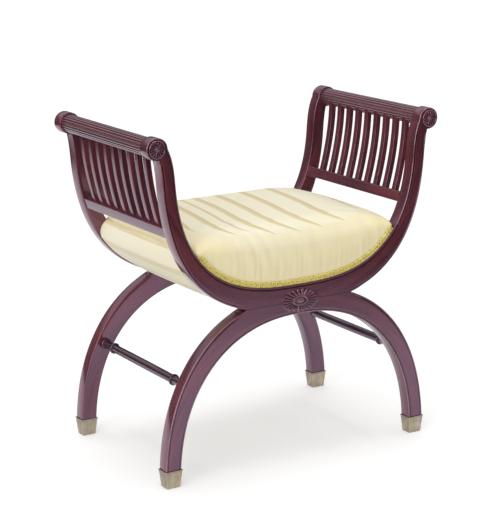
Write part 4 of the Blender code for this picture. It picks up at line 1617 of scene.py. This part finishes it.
@dataclass
class Cushion:
    """The seat's crowned cushion with a boxed front and back, swollen by cloth simulation."""

    node: str = "seat_cushion"
    voxel: float = 0.0050
    slack: float = 0.0004  # the start shape is smaller by this much where the cloth is free
    reach: float = 0.0020  # the cloth may move by this much
    settling: int = 6  # rounds that even the cloth's shift out over neighbouring points
    held_below: float = 0.013  # over the seat's floor, where the gimp holds the cloth
    free_above: float = 0.040
    frames: int = 20
    pressure: float = 4.0
    mass: float = 0.3
    stretching: float = 15.0  # stiffness
    bending: float = 0.5
    gather: float = 0.0004  # depth of the fine folds over the gimp
    folds: Waves = Waves(430.0, 2.1, 57.0, 0.0, 0.45, 131.0, 1.3)
    folds_y: Point = (0.165, 0.177)  # the folds start between these distances from the middle
    folds_up: Point = (0.008, 0.020)  # and these heights over the seat's floor,
    folds_down: Point = (0.085, 0.025)  # and end between these
    crease: float = 0.0006  # depth of the wide soft creases of the boxing
    creases: Waves = Waves(150.0, 2.6, 23.0, 0.7, 0.40, 47.0, 0.0, slant=0.35, skew=9.0)
    creases_y: Point = (0.120, 0.170)
    creases_up: Point = (0.010, 0.040)
    crown_y: float = 0.03  # the crown is found within this distance of the middle
    roll_start: float = 0.0045  # the top starts to roll this far under its crown
    roll_end: float = 0.0240  # and is boxing this far under it at mid span
    end_roll: float = 0.0035  # or this far where the seat ends
    roll_span: float = 0.190
    lean: float = 0.15  # of the stripes over the top
    lean_from: float = -0.090
    swing: float = 2.3  # the stripes swing along the bench by this much as they go down the front

    def freedom(self, points: np.ndarray) -> np.ndarray:
        """Returns how free each point is, from 0 where it is held to 1."""
        share = risen(points[:, 2] - seat_floor(points[:, 0]), self.held_below, self.free_above)
        return share * share * (3.0 - 2.0 * share)

    def start_mesh(self, source: Piece) -> Piece:
        """Remeshes the cushion.

        Args:
            source: the CAD cushion.

        Returns:
            A copy with small even faces.
        """
        piece = tidy(linked(bpy.data.objects.new("silk_cushion", source.data.copy())))
        modify(piece, "REMESH", mode="VOXEL", voxel_size=self.voxel)
        modify(piece, "SMOOTH", iterations=6, factor=0.5)
        return baked(piece)

    def simulate(self, piece: Piece) -> None:
        """Swells the cushion with pressure, held along the gimp and capped in reach.

        Args:
            piece: the cushion.
        """
        mesh = piece.data
        rest = rows_of(mesh.vertices, "co")
        free = self.freedom(rest)
        start = rest - rows_of(mesh.vertex_normals, "vector") * (self.slack * free)[:, None]
        set_points(mesh, start)
        held = piece.vertex_groups.new(name="held")
        for index, share in enumerate(free):
            held.add([index], 1.0 - share, "REPLACE")
        cloth = modify(piece, "CLOTH")
        settings = {
            "use_pressure": True, "uniform_pressure_force": self.pressure, "vertex_group_mass": held.name,
            "quality": 5, "mass": self.mass, "bending_stiffness": self.bending,
            "tension_stiffness": self.stretching, "compression_stiffness": self.stretching}
        for key, value in settings.items():
            setattr(cloth.settings, key, value)
        cloth.settings.effector_weights.gravity = 0.0
        cloth.point_cache.frame_start = 1
        cloth.point_cache.frame_end = self.frames
        for frame in range(1, self.frames + 1):
            bpy.context.scene.frame_set(frame)
        graph = bpy.context.evaluated_depsgraph_get()
        moved = rows_of(piece.evaluated_get(graph).data.vertices, "co") - start
        piece.modifiers.remove(cloth)
        bpy.context.scene.frame_set(1)
        length = np.linalg.norm(moved, axis=1)
        cap = np.minimum(1.0, self.reach / np.maximum(length, 1e-9)) * free
        shift = start + moved * cap[:, None] - rest
        set_points(mesh, rest + evened(mesh, shift, self.settling))

    def lay_cloth(self, mesh: bpy.types.Mesh) -> None:
        """Stores where the stripes run and where the top turns into boxing.

        Args:
            mesh: the cushion's mesh.
        """
        x, y, z = rows_of(mesh.vertices, "co").T
        middle = np.abs(y) < self.crown_y
        crown = np.interp(np.abs(x), *crown_line(np.abs(x[middle]), z[middle]))
        drop = np.maximum(crown - z, 0.0)
        down = np.where(y < 0.0, np.maximum(drop - self.roll_start, 0.0), 0.0)
        run = x - self.lean * np.maximum(y, self.lean_from) - self.swing * down
        dish = np.clip(1.0 - (x / self.roll_span) ** 2, 0.0, 1.0)
        side = drop / (self.end_roll + (self.roll_end - self.end_roll) * dish)
        mark(mesh, ARC, run)
        mark(mesh, SIDE, side)

    def gathers(self, mesh: bpy.types.Mesh) -> None:
        """Presses fine upright folds into the boxing over the gimp, and wide creases above them.

        Args:
            mesh: the cushion's mesh.
        """
        points = rows_of(mesh.vertices, "co")
        x, y, z = points.T
        height = z - seat_floor(x)
        fine = self.folds.at(x, y, height) * risen(np.abs(y), *self.folds_y)
        fine = fine * risen(height, *self.folds_up) * risen(height, *self.folds_down)
        wide = self.creases.at(x, y, height) * risen(np.abs(y), *self.creases_y)
        wide = wide * risen(height, *self.creases_up)
        depth = self.gather * fine + self.crease * wide
        set_points(mesh, points + rows_of(mesh.vertex_normals, "vector") * depth[:, None])

    def build(self, source: Piece, finishes: Finishes) -> None:
        """Makes the cushion and dresses it.

        Args:
            source: the CAD cushion.
            finishes: the bench's materials.
        """
        piece = self.start_mesh(source)
        self.simulate(piece)
        modify(piece, "SUBSURF", levels=1, render_levels=1)
        baked(piece)
        self.lay_cloth(piece.data)
        self.gathers(piece.data)
        piece.data.shade_smooth()
        hand_in(piece, finishes.silk[Lay.TOP], "silk", self.node)


def modify(piece: Piece, kind: str, **settings: object) -> bpy.types.Modifier:
    """Adds a modifier to a piece.

    Args:
        piece: the piece.
        kind: the modifier's type.
        settings: its properties.

    Returns:
        The modifier.
    """
    modifier = piece.modifiers.new(kind.lower(), kind)
    for key, value in settings.items():
        setattr(modifier, key, value)
    return modifier


def crown_line(x: np.ndarray, z: np.ndarray) -> tuple[np.ndarray, np.ndarray]:
    """Finds the cushion's crown along the bench.

    Args:
        x: distances of points from the middle.
        z: their heights.

    Returns:
        Places along the bench, and the highest z near each.
    """
    places = np.linspace(0.0, float(x.max()), 40)
    reach = places[1]
    return places, np.array([z[np.abs(x - place) <= reach].max() for place in places])


def rows_of(items: bpy.types.bpy_prop_collection, key: str) -> np.ndarray:
    """Reads a vector of each point.

    Args:
        items: a mesh's points or normals.
        key: the vector's name.

    Returns:
        A row for each point.
    """
    flat = np.empty(len(items) * 3)
    items.foreach_get(key, flat)
    return flat.reshape(-1, 3)


def evened(mesh: bpy.types.Mesh, shift: np.ndarray, rounds: int) -> np.ndarray:
    """Returns a shift of a mesh's points, evened out over neighbouring points.

    Args:
        mesh: its edges say which points are neighbours.
        shift: a row for each point.
        rounds: how many times each row is averaged with its neighbours.

    Returns:
        The evened rows.
    """
    ends = np.empty(len(mesh.edges) * 2, dtype=np.int32)
    mesh.edges.foreach_get("vertices", ends)
    first, second = ends.reshape(-1, 2).T
    count = np.bincount(ends, minlength=len(shift))[:, None]
    for _ in range(rounds):
        total = np.zeros_like(shift)
        np.add.at(total, first, shift[second])
        np.add.at(total, second, shift[first])
        shift = 0.5 * shift + 0.5 * total / count
    return shift


def set_points(mesh: bpy.types.Mesh, points: np.ndarray) -> None:
    """Moves a mesh's points."""
    mesh.vertices.foreach_set("co", points.ravel())
    mesh.update()


@dataclass
class OuterCover:
    """The cloth on the outside and underside of the seat, rolled over its ends."""

    panel: float = 0.009
    edge_share: float = 0.93
    bulge_share: float = 0.08
    roll: float = 0.10
    lift: float = 0.0014  # the cloth comes up over the panel's end by this much,
    inset: float = 0.0002  # a little inside its tip,
    lip: Point = (0.985, -0.0012)  # and ends at this place and depth on the panel
    heart: float = 0.25  # the roll is about a line at this share of the panel's thickness
    inside: float = 0.94  # the cover's inner side reaches this far along
    widest: float = 0.09  # the U is nowhere wider than this
    rows: int = 26
    columns: int = 120

    def width(self, along: float) -> float:
        """Finds the width of the U.

        Args:
            along: the place along the seat, from -1 to 1.

        Returns:
            The width, square to the inner edge.
        """
        low, high = 0.0, self.widest
        for _ in range(30):
            middle = (low + high) / 2.0
            if SIZES.u_outer.holds(*SIZES.seat_point(along, middle)):
                low = middle
            else:
                high = middle
        return low

    def section(self, v: float) -> tuple[list[Point], list[float]]:
        """Returns the cover's closed section at a place from front to back.

        Args:
            v: from -1 at the front to 1 at the back.

        Returns:
            The points in x and z, and the arc at each.
        """
        heart = self.panel * self.heart
        points = []
        for share in spread(-1.0, 1.0, self.columns):
            along = eased(share)
            into = max(abs(along) - 1.0 + self.roll, 0.0) / self.roll
            roll = math.sqrt(max(1.0 - into ** 2, 0.0))
            full = self.width(along) * (self.edge_share + self.bulge_share * (1.0 - v ** 4))
            points.append(SIZES.seat_point(along, heart + (full - heart) * roll))
        ends = []
        for sign in (1.0, -1.0):
            tip_x, tip_z = SIZES.seat_point(sign, heart)
            lip = SIZES.seat_point(sign * self.lip[0], self.lip[1])
            ends.append([(tip_x - sign * self.inset, tip_z + self.lift), lip])
        back = spread(self.inside, -self.inside, 48)
        points += ends[0] + [SIZES.seat_point(eased(share), self.panel + GAP) for share in back] + ends[1][::-1]
        arcs = [0.0]
        for before, after in zip(points, points[1:]):
            arcs.append(arcs[-1] + math.dist(before, after))
        middle = arcs[self.columns // 2]
        return points, [arc - middle for arc in arcs]

    def build(self, finishes: Finishes) -> None:
        """Makes the cover and dresses it.

        Args:
            finishes: the bench's materials.
        """
        reach = SIZES.inner_y - GAP
        rings = []
        arcs = []
        for share in spread(-1.0, 1.0, self.rows):
            v = eased(share)
            points, arc = self.section(v)
            rings.append([(x, v * reach, z) for x, z in points])
            arcs.append(arc)
        piece = lofted("silk_outer_cover", rings, arcs, sharp=60.0, attribute=ARC)
        hand_in(piece, finishes.silk[Lay.WRAP], "silk", "seat_outer_cover")


@dataclass
class Gimp:
    """The braid along the foot of the boxing: a tape with rows of small loops on it."""

    face: str
    setback: float = 0.0040
    height: float = 0.0112
    tape: float = 0.0010
    cord: float = 0.0008
    pitch: float = 0.0042
    short: float = math.radians(3.4)  # it ends this much before the seat
    sunk: float = 0.4  # share of the cord's radius that clears the tape
    deep: float = -0.8  # painted shade on the inner side of a loop
    rows: tuple[tuple[float, Triple], ...] = (  # height, and half length, half height and tilt of the loops
        (0.0026, (0.0010, 0.0013, 0.0)), (0.0064, (0.0011, 0.0013, -0.35)), (0.0097, (0.0016, 0.0004, 0.2)))

    def path(self, rise: float, steps: int = 160) -> list[Point]:
        """Draws a line along the gimp.

        Args:
            rise: its height, square to the U's inner edge.
            steps: in each half of it.

        Returns:
            The x and z of its points.
        """
        end = SIZES.seat_end + self.short
        half = []
        for angle in spread(end, RIGHT_ANGLE, steps):
            x, z = SIZES.u_inner.point(angle)
            across, down = SIZES.u_inner.normal(angle)
            half.append((x - across * rise, z - down * rise))
        return mirrored(half)

    def loop(self, half_length: float, half_height: float, tilt: float) -> Piece:
        """Makes one loop of cord in the XZ plane.

        Args:
            half_length: along the braid.
            half_height: across it.
            tilt: metres along the braid for a metre across it.

        Returns:
            The pattern of a row.
        """
        sides = spread(0.0, math.tau, 5)[:-1]
        # the inner side of the cord is painted shade
        shading_and_wear = [0.0 if math.cos(side) > 0.0 else self.deep for side in sides]
        rings = []
        for turn in spread(0.0, math.tau, 8)[:-1]:
            ring = []
            for side in sides:
                reach = 1.0 + self.cord * math.cos(side) / half_height
                x = half_length * reach * math.cos(turn)
                z = half_height * reach * math.sin(turn)
                ring.append((x + tilt * z, self.cord * math.sin(side), z))
            rings.append(ring)
        return lofted("loop_pattern", rings, [shading_and_wear] * len(rings), sharp=80.0, endless=True)

    def loops(self, recipe: Recipe, rise: float, y: float, shape: Triple,
              finish: bpy.types.Material) -> Piece:
        """Makes a row of loops.

        Args:
            recipe: the tree that repeats a loop.
            rise: height over the U's inner edge.
            y: distance of the row from the middle of the bench.
            shape: half length, half height and tilt of a loop.
            finish: the material.

        Returns:
            The row.
        """
        line = [(x, y, z) for x, z in self.path(rise)]
        mesh = bpy.data.meshes.new("gimp_path")
        mesh.from_pydata(line, [(index, index + 1) for index in range(len(line) - 1)], [])
        path = linked(bpy.data.objects.new("gimp_path", mesh))
        inputs = {"Path": path, "Pitch": self.pitch, "Loop": self.loop(*shape), "Finish": finish}
        return recipe.run("gimp_row", inputs)

    def build(self, recipe: Recipe, finishes: Finishes) -> None:
        """Makes the braid and dresses it.

        Args:
            recipe: the tree that repeats a loop.
            finishes: the bench's materials.
        """
        sign = FACES[self.face]
        back = sign * (SIZES.half_depth - self.setback + GAP)
        front = back + sign * self.tape
        rings = []
        low, high = self.path(GAP), self.path(self.height)
        for (x0, z0), (x1, z1) in zip(low, high):
            rings.append([(x0, back, z0), (x0, front, z0), (x1, front, z1), (x1, back, z1)])
        # the tape under the loops is painted shade all over
        tape = lofted("gimp_tape", rings, [[-1.0] * 4] * len(rings), sharp=30.0)
        y = front + sign * self.cord * self.sunk
        rows = [self.loops(recipe, rise, y, shape, finishes.braid) for rise, shape in self.rows]
        piece = joined(f"{self.face}_gimp_braid", [tape, *rows])
        piece.data.shade_smooth()
        hand_in(piece, finishes.braid, "gimp", f"{self.face}_gimp")


# Studio


@dataclass(frozen=True)
class Lamp:
    """A broad soft lamp so far away that it lights everything at one level."""

    name: str
    toward: Triple  # the way to the lamp
    level: float  # how bright it makes a white surface that faces it
    softness: float = math.radians(50.0)
    distance: float = 3.0  # from the origin, which changes nothing in the light

    def build(self) -> None:
        """Puts the lamp in the scene."""
        data = bpy.data.lights.new(self.name, "SUN")
        data.energy = self.level * math.pi
        data.angle = self.softness
        lamp = linked(bpy.data.objects.new(self.name, data))
        lamp.location = Vector(self.toward) * self.distance
        lamp.rotation_euler = (-Vector(self.toward)).to_track_quat("-Z", "Y").to_euler()


@dataclass(frozen=True)
class Studio:
    """White floor and surroundings, soft lamps and the camera of the photograph."""

    focal_px: float = 1685.4
    long_side_px: float = 532.0
    sensor: float = 36.0
    azimuth: float = math.radians(-31.721)
    elevation: float = math.radians(14.271)
    roll: float = math.radians(-0.512)
    distance: float = 3.3363
    target: Triple = (-0.0029, 0.0, 0.3476)
    ambient: float = 0.50  # light from all round
    horizon: float = 0.15  # how bright the polish shows the far room,
    softbox: float = 0.80  # the soft boxes over it
    ceiling: float = 0.35  # and what is overhead
    boxes_from: Point = (0.25, 0.55)  # sines of the heights between which the soft boxes start
    boxes_to: Point = (0.65, 0.90)  # and end
    floor_size: float = 40.0
    floor_near: float = 0.72  # colour and glow of the floor round the bench
    near_glow: float = 0.36
    floor_far: float = 0.06  # and far from it, where polish shows it dark
    far_glow: float = 1.00
    fade: Point = (1.20, 2.20)  # between these distances
    pool: Triple = (-0.30, 0.40, 0.0)  # middle of the bright floor

    def camera(self) -> None:
        """Sets the camera."""
        a, e, r = self.azimuth, self.elevation, self.roll
        back = Vector((math.sin(a) * math.cos(e), -math.cos(a) * math.cos(e), math.sin(e)))
        right = Vector((0.0, 0.0, 1.0)).cross(back).normalized()
        up = back.cross(right)
        turned_right = right * math.cos(r) + up * math.sin(r)
        turned_up = up * math.cos(r) - right * math.sin(r)
        data = bpy.data.cameras.new("camera")
        data.sensor_width = self.sensor
        data.lens = self.focal_px / self.long_side_px * self.sensor
        camera = linked(bpy.data.objects.new("camera", data))
        axes = Matrix((turned_right, turned_up, back)).transposed().to_4x4()
        camera.matrix_world = Matrix.Translation(Vector(self.target) + back * self.distance) @ axes
        bpy.context.scene.camera = camera

    def seen(self, graph: Graph, gloss: Value | float) -> Value:
        """Returns how much a ray sees of the background.

        Args:
            graph: the material's or world's nodes.
            gloss: share for rays that a polished piece mirrors.

        Returns:
            1 for rays from the camera or through a piece, the share for mirrored ones, and 0 for others.
        """
        path = graph.node("ShaderNodeLightPath", output="Is Glossy Ray")
        through = path.other("Is Transmission Ray").math("MAXIMUM", path * gloss)
        return path.other("Is Camera Ray").math("MAXIMUM", through)

    def surroundings(self) -> None:
        """Sets the world: white where it is seen, and a room with soft boxes in the polish."""
        world = bpy.data.worlds.new("studio")
        world.use_nodes = True
        graph = Graph(world.node_tree)
        background = graph.tree.nodes["Background"]
        background.inputs["Color"].default_value = (1.0, 1.0, 1.0, 1.0)
        heading = graph.node("ShaderNodeTexCoord", output="Generated")
        up = graph.node("ShaderNodeSeparateXYZ", values={0: heading}, output=2)
        rise = up.ramp(self.boxes_from, (self.horizon, self.softbox))
        fall = up.ramp(self.boxes_to, (-self.ambient, self.ceiling - self.softbox - self.ambient))
        room = graph.node("ShaderNodeLightPath", output="Is Glossy Ray") * (rise + fall)
        level = self.seen(graph, 0.0).ramp((0.0, 1.0), (self.ambient, 1.0)) + room
        graph.tree.links.new(level.socket, background.inputs["Strength"])
        world.cycles.sampling_method = "NONE"
        bpy.context.scene.world = world

    def floor(self) -> None:
        """Makes the white floor, which keeps the bench's shadow, and which polish shows dark far away."""
        half = self.floor_size / 2.0
        corners = [(-half, -half, 0.0), (half, -half, 0.0), (half, half, 0.0), (-half, half, 0.0)]
        floor = new_piece("floor", corners, [(0, 1, 2, 3)])
        shader = Shader("floor", {"Roughness": 1.0, "Specular IOR Level": 0.0, "Emission Strength": 1.0})
        values = {0: shader.place(), 1: self.pool}
        away = shader.node("ShaderNodeVectorMath", {"operation": "DISTANCE"}, values, "Value")
        shader.feed("Base Color", away.ramp(self.fade, (self.floor_near, self.floor_far)))
        glow = away.ramp(self.fade, (self.near_glow, self.far_glow))
        shader.feed("Emission Color", self.seen(shader, away.ramp(self.fade, (1.0, 0.0))) * glow)
        floor.data.materials.append(shader.material)

    def build(self) -> None:
        """Sets up the camera, floor, surroundings and lamps."""
        bpy.context.scene.view_settings.view_transform = "Standard"
        self.camera()
        self.surroundings()
        self.floor()
        Lamp("overhead", (0.02, 0.08, 0.9966), 0.38, math.radians(40.0)).build()
        Lamp("key", (-0.62, -0.68, 0.39), 0.29).build()
        Lamp("side", (-0.88, -0.42, 0.10), 0.49).build()


# The bench


def build_frames(finishes: Finishes) -> None:
    """Makes the front and back frames.

    Args:
        finishes: the bench's materials.
    """
    for face, sign in FACES.items():
        neck_x, neck_z = SIZES.outer_edge(SIZES.neck_z)
        necks = [(neck_x, neck_z), (-neck_x, neck_z)]
        FrameMember(f"{face}_beaded_u", f"{face}_u_frame", sign, u_rim(), Grain.BOW, corners=necks,
                    shadowed_below=SIZES.u_inner.point(SIZES.seat_end)[1]).build(finishes)
        FrameMember(f"{face}_beaded_arch", f"{face}_leg_arch", sign, arch_rim(), Grain.ARCH).build(finishes)


def build_carving(finishes: Finishes) -> None:
    """Makes the rosettes on the heads and the paterae over the glue lines.

    Args:
        finishes: the bench's materials.
    """
    recipe = petal_recipe()
    for face, sign in FACES.items():
        for side, x_sign in SIDES.items():
            place = faced(sign, x_sign * SIZES.head_x, SIZES.head_z)
            ROSETTE.build(f"{face}_{side}_rosette", place, recipe, finishes)
        PATERA.build(f"{face}_patera", faced(sign, 0.0, SIZES.glue_z + PATERA_RISE), recipe, finishes)


def dress_inner(frame: dict, finishes: Finishes) -> None:
    """Dresses the CAD nodes that stay: the seat panel and the dowels.

    Args:
        frame: the CAD part in the scene.
        finishes: the bench's materials.
    """
    for name, node in frame["nodes"].items():
        if name == "seat_panel":
            material, slot = finishes.plywood, "plywood"
        elif name.endswith("_dowel"):
            material, slot = finishes.wood[Grain.UPRIGHT], "mahogany"
        else:
            continue
        node.data.materials.clear()
        node.data.materials.append(material)
        LOG.info("%s: kept from the CAD", name)


def main() -> None:
    """Builds the bench's pieces in order."""
    logging.basicConfig(level=logging.INFO, format="%(name)s: %(message)s")
    for old in list(bpy.data.objects):
        bpy.data.objects.remove(old)
    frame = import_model()
    Studio().build()
    finishes = Finishes()
    build_frames(finishes)
    slat_row = row_recipe()
    for side in SIDES:
        Arm(side).build(slat_row, finishes)
        Stretcher(side).build(finishes)
        for face in FACES:
            Sabot(face, side).build(finishes)
    build_carving(finishes)
    Cushion().build(frame["nodes"]["seat_cushion"], finishes)
    OuterCover().build(finishes)
    braid = braid_recipe()
    for face in FACES:
        Gimp(face).build(braid, finishes)
    dress_inner(frame, finishes)
    bpy.context.view_layer.update()


if __name__ == "__main__":
    main()
